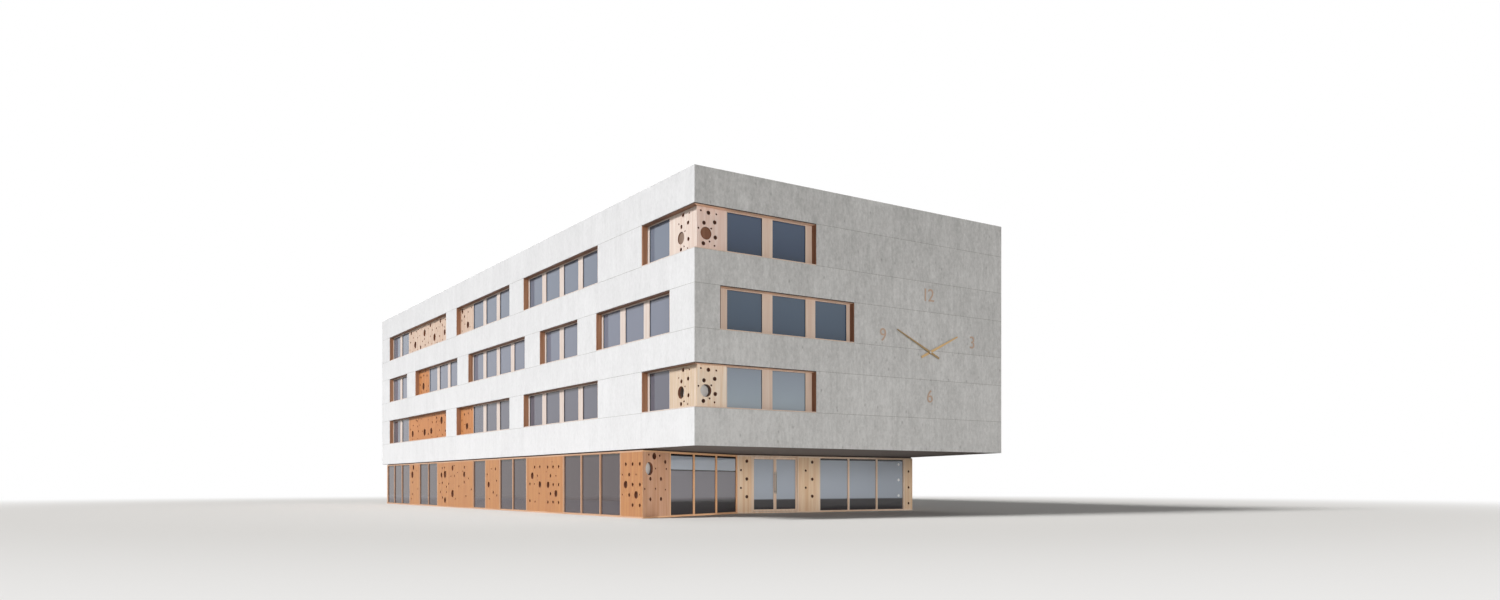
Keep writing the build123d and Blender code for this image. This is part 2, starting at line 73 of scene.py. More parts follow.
# Woods, each with its material, what it covers, and the colours of its early and late wood
WOODS = {
    "board": ("whitened_larch", "flush boards between the windows", "#dac7b8", "#cfb5a2"),
    # Painted light: each sunny_ row, and the far row, is a copy coloured for the sunlit long side
    "sunny_board": ("sun_aged_larch", "flush boards of the long side", "#bcb4af", "#b09f94"),
    # Painted shade: the reveal colours are dark for the shade on the linings at the band ends
    "reveal": ("stained_larch", "linings at the ends of the bands", "#85593f", "#643f2b"),
    "sunny_reveal": (
        "sun_aged_stained_larch", "end linings of the long side", "#ae8163", "#8a5f44"
    ),
    # Painted shadow: the head colour is the dark line of shadow under the cast head
    "head": ("dark_stained_larch", "edges of the linings at the heads", "#46301f", "#35231a"),
    "underside": ("stained_larch_soffit", "undersides of the head linings", "#ecc6ad", "#d8ad90"),
    # Painted shade: the long side's head undersides are dark for the shade under its heads, unlike
    # the pale front ones
    "sunny_underside": (
        "sun_aged_larch_soffit", "undersides of the long side's head linings", "#835f49", "#6c4a37"
    ),
    "corner": ("whitened_spruce", "front's perforated boards, top storey", "#e8d4cb", "#d8baaa"),
    "corner_low": (
        "whitened_golden_spruce", "front's perforated boards, first storey", "#f1e3d3", "#e2c8ac"
    ),
    "sunny": ("sun_aged_spruce", "long side's corner board, top storey", "#c4bab2", "#b19c90"),
    "sunny_low": (
        "sun_aged_golden_spruce", "long side's corner board, first storey", "#bcad9e", "#a79077"
    ),
    "far": ("sun_aged_far_spruce", "long side's far boards, top storey", "#b7a697", "#a58a78"),
    "aged": ("aged_red_spruce", "long side's far boards, lower storeys", "#b07848", "#8f5930"),
    # Painted shade: the plug colours are the shade inside the top storey's large holes, the sunny
    # one a copy for the sunlit side
    "plug": ("stained_spruce_plug", "board in the front's top large hole", "#8a5f47", "#6d4631"),
    "sunny_plug": (
        "sun_aged_spruce_plug", "board in the long side's top large hole", "#7b6759", "#614c3f"
    ),
    # Painted light: ground and post are painted paler for the light under the overhang; the
    # diagonal_ and sunny_ rows are copies coloured for their walls' light
    "ground": ("oiled_spruce", "boards of the shaded ground floor", "#f9dfc2", "#e6bf98"),
    "diagonal": ("oiled_red_spruce", "board of the diagonal wall", "#dbaf92", "#ca9571"),
    "sunny_ground": (
        "sun_aged_oiled_spruce", "ground floor boards of the long side", "#a4764b", "#92623f"
    ),
    "post": ("oiled_larch", "posts and rails of the shaded ground floor", "#f8e2cf", "#e9c9ac"),
    "diagonal_post": (
        "oiled_red_larch", "posts and rails of the diagonal wall", "#f6c79c", "#e7b283"
    ),
    "sunny_post": (
        "sun_aged_oiled_larch", "posts and rails of the long side", "#b5937a", "#9c775c"
    ),
}

# Woods whose grain runs level
LEVEL_GRAIN = ("head", "underside", "sunny_underside")

# Gap before and thickness of the backing boards, upstairs and on the ground floor
UPPER_BACKING = (0.004, 0.02)
GROUND_BACKING = (0.002, 0.01)

# Portholes: thickness of the sleeve and pane, how far the sleeve reaches past the pane's outer
# face, and what the backing board leaves open round them; how deep a plug sits; the drill's length
SLEEVE_WALL, PANE_DEPTH, SLEEVE_END, PORTHOLE_MARGIN = 0.012, 0.005, 0.006, 0.03
PLUG_SETBACK = 0.02
DRILL_LENGTH = 0.3

# Round marks of the last pane: their heights, and their place as a share of its width
MARK_LEVELS = (1.38, 0.918, 0.45)
MARK_SHARE = 0.83

# Numerals: how far right of the spindle and above it, how close their digits stand, and their bevel
NUMERALS = {"12": (0.0, 1.415), "3": (1.49, 0.36), "6": (0.02, -1.08), "9": (-1.51, 0.32)}
DIGIT_SPACING, DIGIT_BEVEL = 0.86, 0.001

# Ways to the two soft lights, place and way of the camera, and how far the panel that lights the
# soffit keeps inside it
SUN_WAY = (-0.86, 0.10, 0.50)
FILL_WAY = (-0.32, -0.94, 0.085)
CAMERA_PLACE = (-18.678, -30.9145, 0.7845)
CAMERA_WAY = (0.5595, 0.8289, 0.0)
BOUNCE_INSET = 0.6

# Numbers that scatter a panel's column, row and wall into its tone
SCATTER = (12.9898, 78.233, 3.7, 43758.5453)

# Sockets of a colour Mix node
FACTOR, COLOUR_A, COLOUR_B, MIXED = 0, 6, 7, 2


def shade(code):
    """A linear colour from an sRGB hex value."""
    channels = [int(code[n:n + 2], 16) / 255 for n in (1, 3, 5)]
    return tuple(c / 12.92 if c <= 0.04045 else ((c + 0.055) / 1.055) ** 2.4 for c in channels)


def number(name, description, default, **options):
    """A number property."""
    return FloatProperty(name=name, description=description, default=default, **options)


def length(name, description, default):
    """A length property in metres."""
    return number(name, description, default, min=0.0, unit="LENGTH", precision=4)


def share(name, description, default):
    """A property from 0 to 1."""
    return number(name, description, default, min=0.0, max=1.0, subtype="FACTOR")


def colour(name, description, code):
    """A colour property from an sRGB hex value."""
    return FloatVectorProperty(
        name=name, description=description, default=shade(code), min=0.0, max=1.0, size=3,
        subtype="COLOR"
    )


class SchoolConcrete(bpy.types.PropertyGroup):
    """Sizes and colours of the cast walls, floors and roof."""

    pale: colour("Pale", "Colour of the cast face where the skin is dry and tight", "#cfcecc")
    dark: colour("Dark", "Colour of the cast face where the paste is dense", "#a7a6a4")
    # Painted light: the sunny colours are a copy of the cast face's colours, darker and flatter,
    # set for the sunlit long side
    sunny_pale: colour("Sunny pale", "The pale colour on the sunny long side", "#c0c0c1")
    sunny_dark: colour("Sunny dark", "The dark colour on the sunny long side", "#b0b0b1")
    pit: colour("Pit", "Colour inside the air holes of the cast face", "#6f6d6a")
    joint: colour("Joint", "Colour inside the grooves between formwork panels", "#7d7b77")
    # Painted shade: the soffit colour is dark for the shade under the overhang
    soffit: colour("Soffit", "Stained underside of the overhang", "#625a55")
    floor: colour("Floor", "Floors and ceilings inside", "#a7a49d")
    gravel: colour("Gravel", "Stones of the roof covering", "#a09c94")
    front_joint: length("First front joint", "From the clock corner to the first joint", 0.735)
    panel: length("Panel", "Width of a formwork panel", 1.2)
    groove: length("Groove", "Half width and depth of the upright grooves between panels", 0.003)
    bevel: length("Bevel", "Bevel of the cast edges, which meet in the level joints", 0.005)
    streak_width: length("Streak width", "Width of the upright marks of the formwork", 0.11)
    streak_length: length("Streak length", "Height of the upright marks of the formwork", 0.9)
    cloud: length("Cloud", "Size of the soft patches of the cast face", 0.42)
    mottle: length("Mottle", "Size of the small dense spots of the cast face", 0.05)
    pit_spacing: length("Pit spacing", "Distance between the air holes of the cast face", 0.2)
    panel_shade: share("Panel shade", "How much one panel differs from the next", 0.1)
    # Painted light: the foot of the cast face is painted paler, as if lit from the ground, and its
    # top a little darker
    washed: share("Washed", "How much paler the foot of the cast face is", 0.16)
    foot: length("Foot", "Height of the foot of the cast face", 1.6)
    top: length("Top", "Height of the top of the cast face", 7.5)


class SchoolTimber(bpy.types.PropertyGroup):
    """Sizes and colours of the window bands, perforated boards and ground floor frames."""

    hole: colour("Hole edge", "Cut end grain inside the holes", "#85543a")
    # Painted shade: the backing colour is the dark seen through the holes
    backing: colour("Backing", "Dark board behind the holes", "#663e2e")
    # Painted shade: the packer colour is the shadow gap over the ground floor frames, and the
    # porthole sleeves take it too
    packer: colour("Packer", "Black stained packers over the ground floor frames", "#51423a")
    recess: length("Recess", "Depth of the boards behind the cast face", 0.145)
    lining: length("Lining", "Thickness of the linings", 0.02)
    pane_depth: length("Pane depth", "Depth of the glass behind the cast face", 0.167)
    gasket: length("Gasket", "Width of the dark gasket round each pane", 0.004)
    bead: length("Bead", "Width of the glazing beads of the ground floor", 0.012)
    grain_width: length("Grain width", "Spacing of the growth rings, drawn coarse to show", 0.02)
    grain_length: length("Grain length", "Length of the grain figure along the boards", 0.6)
    small_hole: length("Small hole", "Radius of the smallest perforations", 0.022)
    hole_rounding: length("Hole rounding", "How much a hole is widened to be round", 0.001)
    porthole_depth: length("Porthole depth", "From a corner board's face to its porthole", 0.13)
    diagonal_porthole_depth: length("Diagonal porthole depth", "The same, diagonal wall", 0.08)
    sill_setback: length("Sill setback", "From the cast face to the sloped sill", 0.01)
    sill_rise: length("Sill rise", "Half the height of the sloped sill at its back", 0.006)
    hole_sides: IntProperty(
        name="Hole sides", description="Flats round each perforation", default=32, min=6, max=64
    )


for key, (_, covers, early, late) in WOODS.items():
    label = key.replace("_", " ").capitalize()
    SchoolTimber.__annotations__[key] = colour(label, f"Early wood of the {covers}", early)
    SchoolTimber.__annotations__[f"{key}_dark"] = colour(
        f"{label} grain", f"Late wood of the {covers}", late
    )


class SchoolGlass(bpy.types.PropertyGroup):
    """Tints of the glazing, painted as its reflections."""

    low: colour("First storey", "First storey's front glass at the sills", "#adbac4")
    low_head: colour("First storey head", "First storey's front glass at the heads", "#95a1b0")
    middle: colour("Second storey", "Second storey's front glass at the sills", "#495b70")
    middle_head: colour("Second storey head", "Second storey's front glass, heads", "#586a7f")
    top: colour("Third storey", "Third storey's front glass at the sills", "#33455f")
    top_head: colour("Third storey head", "Third storey's front glass at the heads", "#4c5e79")
    side_low: colour("Sides, first storey", "First storey's glass of the other sides", "#5c5c67")
    side_middle: colour("Sides, second storey", "Second storey's glass there", "#6c7180")
    side_top: colour("Sides, third storey", "Third storey's glass there", "#68707f")
    ground: colour("Ground floor", "Ground floor panes, which mirror the sky", "#c6cfdb")
    ground_foot: colour("Ground floor foot", "The same panes near the floor", "#4d4a4c")
    ground_head: colour("Ground floor head", "Ground floor panes at the soffit", "#2c2624")
    sunny_ground: colour("Long ground floor", "Ground panes of the long side", "#463b3d")
    sunny_foot: colour("Long ground floor foot", "The same panes near the floor", "#4b444a")
    foot_level: length("Foot level", "Height to which the panes mirror the ground", 0.36)
    head_level: length("Head level", "Height from which the panes mirror the soffit", 1.46)
    inner_rail: length("Inner rail", "Height of the rail seen through the diagonal panes", 1.13)
    inner_dim: colour("Inner dim", "Diagonal panes under that rail", "#8f8b92")
    # Painted reflection: the porthole colour is the pale sky mirrored in their panes
    milky: colour("Portholes", "Milky glass behind the large holes", "#dcd8d4")
    gasket: colour("Gasket", "Dark rubber round the panes", "#2b2a2a")
    marking: colour("Marking", "Round white marks on the last pane", "#ffffff")
    marking_radius: length("Marking radius", "Radius of the round marks", 0.042)
    clear: share("Clear", "How much light the upper panes let through", 0.2)
    ground_clear: share("Ground clear", "How much light the ground panes let through", 0.3)


class SchoolClock(bpy.types.PropertyGroup):
    """Sizes and colours of the clock."""

    # Partly painted shade: both hand colours are darker than their metal, taking in the shadows the
    # hands cast beside them
    hour: colour("Hour hand", "Gold anodised hour hand", "#c4a373")
    minute: colour("Minute hand", "Bronze anodised minute hand", "#9d825a")
    taper: share("Taper", "How much narrower a hand is at its tips", 0.5)
    hub: length("Hub", "Distance from the spindle at which the taper starts", 0.06)
    numerals: colour("Numerals", "Copper coloured numerals", "#b59c89")
    steel: colour("Steel", "Brushed spindle, pulls and pivots", "#b6b4b0")
    numeral_height: length("Numeral height", "Height of a digit", 0.31)
    numeral_depth: length("Numeral depth", "Thickness of a digit", 0.008)


class SchoolStage(bpy.types.PropertyGroup):
    """Light, floor and camera."""

    sky: number("Sky", "Strength of the soft light all round", 0.24)
    sun: number("Sun", "Strength of the soft main light", 4.2)
    sun_angle: number("Sun angle", "Width of the main light", math.radians(14.0), subtype="ANGLE")
    fill: number("Fill", "Strength of the low light from the front", 1.0)
    fill_angle: number("Fill angle", "Width of the low light", math.radians(12.0), subtype="ANGLE")
    bounce: number("Bounce", "Power of the light panel on the floor under the overhang", 60.0)
    floor: colour("Floor", "Pale floor", "#dddbd8")
    floor_fade: length("Floor fade", "Where the floor starts to fade to white", 19.0)
    floor_white: length("Floor white", "Where the floor has faded to white", 42.0)
    floor_size: length("Floor size", "Half width of the floor", 400.0)
    lens: number("Lens", "Focal length on a 36 mm sensor", 24.497)
    shift: number("Shift", "Upward shift of the camera", 0.1229)


def settings(name):
    """One property group of the scene."""
    return getattr(bpy.context.scene, f"school_{name}")


def rgba(value):
    return (*value, 1.0)


def add(tree, kind, inputs=None, **options):
    """Adds a node, sets its options, and fills its inputs with values, sockets or whole nodes,
    which stand for their first output."""
    node = tree.nodes.new(kind)
    for name, value in options.items():
        setattr(node, name, value)
    for socket, value in (inputs or {}).items():
        if isinstance(value, bpy.types.Node):
            value = value.outputs[0]
        if isinstance(value, bpy.types.NodeSocket):
            tree.links.new(value, node.inputs[socket])
        else:
            node.inputs[socket].default_value = value
    return node


def new_material(name):
    """A material and its empty node tree."""
    material = bpy.data.materials.new(name)
    material.use_nodes = True
    material.node_tree.nodes.clear()
    return material, material.node_tree


def cover(tree, inputs):
    """Ends a material's tree with one Principled shader."""
    shader = add(tree, "ShaderNodeBsdfPrincipled", inputs)
    add(tree, "ShaderNodeOutputMaterial", {"Surface": shader})


def object_place(tree, scale=(1.0, 1.0, 1.0)):
    """Object coordinates, stretched by a scale for each axis."""
    place = add(tree, "ShaderNodeTexCoord").outputs["Object"]
    return add(tree, "ShaderNodeMapping", {"Vector": place, "Scale": scale})


def object_height(tree):
    """Height over the ground."""
    return add(tree, "ShaderNodeSeparateXYZ", {"Vector": object_place(tree)}).outputs["Z"]


def cast_concrete(name, pale, dark, pitted):
    """Concrete cast against sheets: marks, patches, spots, air holes, and panels apart in tone."""
    look = settings("concrete")
    material, tree = new_material(name)
    # Painted light: paler towards the foot, darker towards the top
    tone = add(tree, "ShaderNodeMapRange", {
        "Value": object_height(tree), "From Min": look.foot, "From Max": look.top,
        "To Min": look.washed, "To Max": -look.washed / 2,
    })
    panel = add(tree, "ShaderNodeAttribute", attribute_name="panel_shade")
    layers = [(panel.outputs["Fac"], look.panel_shade)]
    across = 1 / look.streak_width
    for stretch, scale, detail, roughness, weight in (
        ((across, across, 1 / look.streak_length), 1.0, 5.0, 0.6, 0.45),
        ((1.0, 1.0, 0.6), 1 / look.cloud, 5.0, 0.62, 0.5),
        ((1.0, 1.0, 0.55), 1 / look.mottle, 3.0, 0.7, 0.9),
    ):
        noise = add(tree, "ShaderNodeTexNoise", {
            "Vector": object_place(tree, stretch), "Scale": scale, "Detail": detail,
            "Roughness": roughness,
        })
        layers.append((noise, weight))
    for layer, weight in layers:
        tone = add(tree, "ShaderNodeMath", {0: layer, 1: weight, 2: tone}, operation="MULTIPLY_ADD")
    tone = add(tree, "ShaderNodeMapRange", {"Value": tone, "From Min": 0.68, "From Max": 1.28})
    face = add(tree, "ShaderNodeMix", {
        FACTOR: tone, COLOUR_A: rgba(getattr(look, dark)), COLOUR_B: rgba(getattr(look, pale)),
    }, data_type="RGBA")
    spacing = 1 / look.pit_spacing
    cells = add(tree, "ShaderNodeTexVoronoi", {
        "Vector": object_place(tree, (spacing, spacing, 0.55 * spacing)), "Scale": 1.0,
    })
    hole = add(tree, "ShaderNodeMapRange", {
        "Value": cells, "From Min": 0.04, "From Max": 0.14, "To Min": pitted, "To Max": 0.0,
    })
    red = add(tree, "ShaderNodeSeparateColor", {"Color": cells.outputs["Color"]})
    chosen = add(tree, "ShaderNodeMath", {0: red, 1: 0.4}, operation="GREATER_THAN")
    pits = add(tree, "ShaderNodeMath", {0: hole, 1: chosen}, operation="MULTIPLY")
    surface = add(tree, "ShaderNodeMix", {
        FACTOR: pits, COLOUR_A: face.outputs[MIXED], COLOUR_B: rgba(look.pit),
    }, data_type="RGBA")
    grit = add(tree, "ShaderNodeTexNoise", {
        "Vector": object_place(tree, (1.0, 1.0, 0.4)), "Scale": 60.0, "Detail": 2.0,
    })
    relief = add(tree, "ShaderNodeMath", {0: grit, 1: pits}, operation="SUBTRACT")
    bump = add(tree, "ShaderNodeBump", {"Height": relief, "Strength": 0.25, "Distance": 0.004})
    cover(tree, {
        "Base Color": surface.outputs[MIXED], "Roughness": 0.82, "Specular IOR Level": 0.3,
        "Normal": bump,
    })
    return material


def rough_mineral(name, base, scale, depth, contrast):
    """Trowelled, stained or loose mineral surface: mottled, dull, with a fine relief."""
    base = getattr(settings("concrete"), base)
    material, tree = new_material(name)
    coarse = add(tree, "ShaderNodeTexNoise", {
        "Vector": object_place(tree), "Scale": scale / 4, "Detail": 4.0,
    })
    grains = add(tree, "ShaderNodeTexVoronoi", {"Vector": object_place(tree), "Scale": scale})
    mottle = add(tree, "ShaderNodeMath", {0: grains, 1: 0.6, 2: coarse}, operation="MULTIPLY_ADD")
    ramp = add(tree, "ShaderNodeMapRange", {"Value": mottle, "From Min": 0.45, "From Max": 1.15})
    tone = add(tree, "ShaderNodeMix", {
        FACTOR: ramp,
        COLOUR_A: rgba(channel * (1 - contrast) for channel in base),
        COLOUR_B: rgba(min(1.0, channel * (1 + contrast)) for channel in base),
    }, data_type="RGBA")
    bump = add(tree, "ShaderNodeBump", {"Height": grains, "Strength": 0.5, "Distance": depth})
    cover(tree, {
        "Base Color": tone.outputs[MIXED], "Roughness": 0.9, "Specular IOR Level": 0.25,
        "Normal": bump,
    })
    return material


def wood(name, pale, dark, upright=True):
    """Planed softwood: rings as fine lines along the board, wandering figure, few knots."""
    look = settings("timber")
    material, tree = new_material(name)
    across, run = 1 / look.grain_width, 1 / look.grain_length
    scale = (across, across, run) if upright else (run, run, across)
    figure = add(tree, "ShaderNodeTexNoise", {
        "Vector": object_place(tree, [part / 4 for part in scale]), "Scale": 1.0, "Detail": 2.0,
    })
    rings = add(tree, "ShaderNodeTexNoise", {
        "Vector": object_place(tree, scale), "Scale": 1.0, "Detail": 3.0, "Roughness": 0.55,
        "Distortion": 0.4,
    })
    knots = add(tree, "ShaderNodeTexVoronoi", {
        "Vector": object_place(tree, (2.4, 2.4, 1.5)), "Scale": 1.0,
    })
    knot = add(tree, "ShaderNodeMapRange", {
        "Value": knots, "From Min": 0.02, "From Max": 0.07, "To Min": 0.8, "To Max": 0.0,
    })
    wave = add(tree, "ShaderNodeMath", {0: rings, 1: 0.6, 2: figure}, operation="MULTIPLY_ADD")
    wave = add(tree, "ShaderNodeMapRange", {"Value": wave, "From Min": 0.5, "From Max": 1.05})
    darkness = add(tree, "ShaderNodeMath", {0: wave, 1: knot}, operation="MAXIMUM")
    tone = add(tree, "ShaderNodeMix", {
        FACTOR: darkness, COLOUR_A: rgba(getattr(look, pale)), COLOUR_B: rgba(getattr(look, dark)),
    }, data_type="RGBA")
    bump = add(tree, "ShaderNodeBump", {"Height": rings, "Strength": 0.2, "Distance": 0.002})
    cover(tree, {
        "Base Color": tone.outputs[MIXED], "Roughness": 0.55, "Specular IOR Level": 0.35,
        "Normal": bump,
    })
    return material


def tinted_glass(name, stops, clear):
    """Float glass in slight waves, with a painted reflection tint for each height."""
    material, tree = new_material(name)
    low, high = stops[0][0] - TOUCH, stops[-1][0] + TOUCH
    level = add(tree, "ShaderNodeMapRange", {
        "Value": object_height(tree), "From Min": low, "From Max": high,
    })
    ramp = add(tree, "ShaderNodeValToRGB", {"Fac": level})
    elements = ramp.color_ramp.elements
    for height, tint in stops:
        elements.new((height - low) / (high - low)).color = rgba(tint)
    for end in (0, -1):
        elements.remove(elements[end])
    waves = add(tree, "ShaderNodeTexNoise", {
        "Vector": object_place(tree), "Scale": 1.4, "Detail": 1.0,
    })
    bump = add(tree, "ShaderNodeBump", {"Height": waves, "Strength": 0.1, "Distance": 0.02})
    cover(tree, {
        "Base Color": ramp, "Roughness": 0.03, "IOR": 1.5, "Transmission Weight": clear,
        "Normal": bump,
    })
    return material


def storey_glass(name, tints_up):
    """Insulating glass, with a painted reflection tint at the sills and one at the heads of each
    storey.
    """
    look = settings("glass")
    low, high = (value.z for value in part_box("front_window_glass"))
    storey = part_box("third_floor_slab")[0].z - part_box("second_floor_slab")[0].z
    ends = (low, high - 2 * storey)
    stops = [
        (level + floor * storey, getattr(look, tint))
        for floor, tints in enumerate(tints_up) for level, tint in zip(ends, tints)
    ]
    return tinted_glass(name, stops, look.clear)


def ground_glass(name, middle, foot, railed=False):
    """Toughened glass of the ground floor, dark where it mirrors the ground and the soffit."""
    look = settings("glass")
    middle, foot, head = getattr(look, middle), getattr(look, foot), look.ground_head
    low, high = (value.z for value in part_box("ground_recess_glass"))
    foot_level, head_level, rail = look.foot_level, look.head_level, look.inner_rail
    # Heights over which one tint turns into the next, and from the middle of the rail to its edges
    foot_blur, dim_blur, head_blur = 0.03, 0.1, 0.02
    rail_core, rail_edge = 0.015, 0.02
    stops = [(low, foot), (foot_level, foot)]
    # Painted shade seen through the diagonal panes: dimmer below a dark rail line
    if railed:
        stops += [
            (foot_level + dim_blur, look.inner_dim), (rail - rail_edge, look.inner_dim),
            (rail - rail_core, head), (rail + rail_core, head), (rail + rail_edge, middle),
        ]
    else:
        stops.append((foot_level + foot_blur, middle))
    stops += [(head_level, middle), (head_level + head_blur, head), (high, head)]
    return tinted_glass(name, stops, look.ground_clear)


def smooth_finish(name, group, base, roughness, metallic=0.0, scale=120.0):
    """A moulded, painted or metal surface with faint handling marks in its sheen."""
    material, tree = new_material(name)
    marks = add(tree, "ShaderNodeTexNoise", {
        "Vector": object_place(tree, (1.0, 1.0, 0.15)), "Scale": scale, "Detail": 2.0,
    })
    sheen = add(tree, "ShaderNodeMapRange", {
        "Value": marks, "To Min": roughness * 0.8, "To Max": roughness * 1.25,
    })
    cover(tree, {
        "Base Color": rgba(getattr(settings(group), base)), "Metallic": metallic,
        "Roughness": sheen,
    })
    return material


@functools.cache
def finish(name):
    """One of the building's finishes, made when it is first asked for."""
    maker, *values = FINISHES[name]
    return maker(*values)


# Each finish: what makes it, its material's name, its colours in the settings, and its measures
FINISHES = {
    "cast_wall": (cast_concrete, "formed_concrete", "pale", "dark", 0.42),
    # The sunlit long side's copy, with its colours and air holes set for the sunlight there:
    # painted light
    "sunny_wall": (cast_concrete, "sun_bleached_concrete", "sunny_pale", "sunny_dark", 0.12),
    "joint": (rough_mineral, "groove_concrete", "joint", 90.0, 0.002, 0.15),
    "soffit": (rough_mineral, "stained_soffit_plaster", "soffit", 70.0, 0.002, 0.12),
    "floor": (rough_mineral, "trowelled_concrete", "floor", 40.0, 0.002, 0.1),
    "gravel": (rough_mineral, "washed_roof_gravel", "gravel", 22.0, 0.02, 0.28),
    "hole": (wood, "spruce_end_grain", "hole", "backing"),
    "backing": (wood, "dark_stained_backing_board", "backing", "head_dark"),
    # Rails take the post colours, with the same painted light
    "rail": (wood, "oiled_larch_rail", "post", "post_dark", False),
    "diagonal_rail": (
        wood, "oiled_red_larch_rail", "diagonal_post", "diagonal_post_dark", False
    ),
    "sunny_rail": (wood, "sun_aged_larch_rail", "sunny_post", "sunny_post_dark", False),
    "packer": (smooth_finish, "black_stained_timber", "timber", "packer", 0.7),
    "front_glass": (storey_glass, "coated_insulating_glass", (
        ("low", "low_head"), ("middle", "middle_head"), ("top", "top_head"),
    )),
    "side_glass": (storey_glass, "coated_insulating_glass_grey", (
        ("side_low", "side_low"), ("side_middle", "side_middle"), ("side_top", "side_top"),
    )),
    "ground_glass": (ground_glass, "toughened_float_glass", "ground", "ground_foot"),
    "diagonal_ground_glass": (
        ground_glass, "toughened_float_glass_lobby", "ground", "ground_foot", True
    ),
    "sunny_ground_glass": (
        ground_glass, "toughened_float_glass_grey", "sunny_ground", "sunny_foot"
    ),
    "milky": (smooth_finish, "milky_laminated_glass", "glass", "milky", 0.12, 0.0, 20.0),
    "gasket": (smooth_finish, "black_rubber", "glass", "gasket", 0.6),
    "marking": (smooth_finish, "white_enamel_film", "glass", "marking", 0.4),
    "hour": (smooth_finish, "gold_anodised_aluminium", "clock", "hour", 0.38, 0.6),
    "minute": (smooth_finish, "bronze_anodised_aluminium", "clock", "minute", 0.38, 0.6),
    "numerals": (smooth_finish, "copper_coloured_aluminium", "clock", "numerals", 0.5, 0.15),
    "steel": (smooth_finish, "brushed_stainless_steel", "clock", "steel", 0.3, 1.0),
}
for key, row in WOODS.items():
    FINISHES[key] = (wood, row[0], key, f"{key}_dark", key not in LEVEL_GRAIN)


def welded(node):
    """A copy of a node's mesh with doubled points joined and flat faces whole."""
    mesh = bmesh.new()
    mesh.from_mesh(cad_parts[node].data)
    bmesh.ops.remove_doubles(mesh, verts=mesh.verts, dist=WELD)
    bmesh.ops.dissolve_limit(mesh, angle_limit=FLAT, verts=mesh.verts, edges=mesh.edges)
    mesh.normal_update()
    return mesh


def islands(faces):
    """Groups of faces that hang together, each as a list."""
    left = set(faces)
    found = []
    while left:
        group = [left.pop()]
        for face in group:
            for edge in face.edges:
                for other in edge.link_faces:
                    if other in left:
                        left.remove(other)
                        group.append(other)
        found.append(group)
    return found


def solids(mesh):
    """The separate solids of a mesh, each as a list of faces."""
    return islands(mesh.faces)


class Side:
    """The outer side of an upright wall, with places along it, up it and into it."""

    def __init__(self, node):
        mesh = welded(node)
        facing = {}
        for face in mesh.faces:
            out = face.normal
            if abs(out.z) < TOUCH and out.dot(face.calc_center_median()) > 0:
                key = (round(out.x, 2), round(out.y, 2))
                facing[key] = facing.get(key, Vector()) + out * face.calc_area()
        x, y, _ = max(facing.values(), key=lambda total: total.length)
        self.out = Vector((x, y, 0)).normalized()
        self.along = UP.cross(self.out)
        self.offset = max(vert.co.dot(self.out) for vert in mesh.verts)
        ends = [vert.co.dot(self.along) for vert in mesh.verts if self.depth(vert.co) < TOUCH]
        self.start = min(ends)
        self.end = max(ends)
        mesh.free()

    def depth(self, point):
        return self.offset - point.dot(self.out)

    def place(self, along, height, depth):
        return self.along * along + self.out * (self.offset - depth) + UP * height


@functools.cache
def side_of(node):
    """The wall side that a node gives, worked out once."""
    return Side(node)


def wall_side(name):
    return side_of(f"{name}_frame" if name in GROUND_WALLS else f"{name}_spandrels")


def extent(side, faces):
    """Ends along, up and into a wall of some faces."""
    points = [vert.co for face in faces for vert in face.verts]
    spans = []
    for measure in (lambda p: p.dot(side.along), lambda p: p.z, side.depth):
        values = [measure(point) for point in points]
        spans.append((min(values), max(values)))
    return spans


def node_extents(node, side):
    """Ends along, up and into a wall of each solid of a node."""
    mesh = welded(node)
    found = [extent(side, faces) for faces in solids(mesh)]
    mesh.free()
    return found


def rectangle(mesh, side, along, height, level, inset=0.0):
    """Corners of a rectangle on a wall."""
    low, high = along[0] + inset, along[1] - inset
    foot, top = height[0] + inset, height[1] - inset
    corners = ((low, foot), (high, foot), (high, top), (low, top))
    return [mesh.verts.new(side.place(a, h, level)) for a, h in corners]


def circle(mesh, side, along, height, level, radius, segments=32):
    """Points of a circle on a wall."""
    turns = [math.tau * n / segments for n in range(segments)]
    return [
        mesh.verts.new(side.place(
            along + radius * math.cos(turn), height + radius * math.sin(turn), level
        ))
        for turn in turns
    ]


def join(mesh, outlines, material=0):
    """Faces between each outline and the next."""
    for one, other in zip(outlines, outlines[1:]):
        for n in range(len(one)):
            m = (n + 1) % len(one)
            face = mesh.faces.new((one[n], one[m], other[m], other[n]))
            face.material_index = material


def prism(mesh, front, back, material=0):
    """A solid between two outlines."""
    for outline in (front, back[::-1]):
        mesh.faces.new(outline).material_index = material
    join(mesh, (back, front), material)


def tube(mesh, front_out, front_in, back_out, back_in, material=0):
    """A closed tube between the outlines of its two ends."""
    join(mesh, (front_out, front_in, back_in, back_out, front_out), material)


def block(mesh, side, along, height, depth):
    """A block between two places along a wall, two heights and two depths."""
    prism(mesh, *(rectangle(mesh, side, along, height, level) for level in depth))


def ring(mesh, side, along, height, width, depth, material=0):
    """A mitred frame just inside a rectangle on a wall."""
    tube(mesh, *(
        rectangle(mesh, side, along, height, level, inset)
        for level in depth for inset in (0.0, width)
    ), material)


def disc(mesh, side, along, height, radius, depth, material=0):
    """A round plate on a wall between two depths."""
    rims = (circle(mesh, side, along, height, level, radius) for level in depth)
    prism(mesh, *rims, material)


def sleeve(mesh, side, along, height, radius, wall, depth, material=0):
    """A round tube let into a wall between two depths."""
    tube(mesh, *(
        circle(mesh, side, along, height, level, size)
        for level in depth for size in (radius + wall, radius)
    ), material)


def mesh_data(mesh, finishes=()):
    """Turns a bmesh into mesh data with its finishes."""
    data = bpy.data.meshes.new("part")
    mesh.to_mesh(data)
    mesh.free()
    for item in finishes:
        data.materials.append(finish(item))
    return data


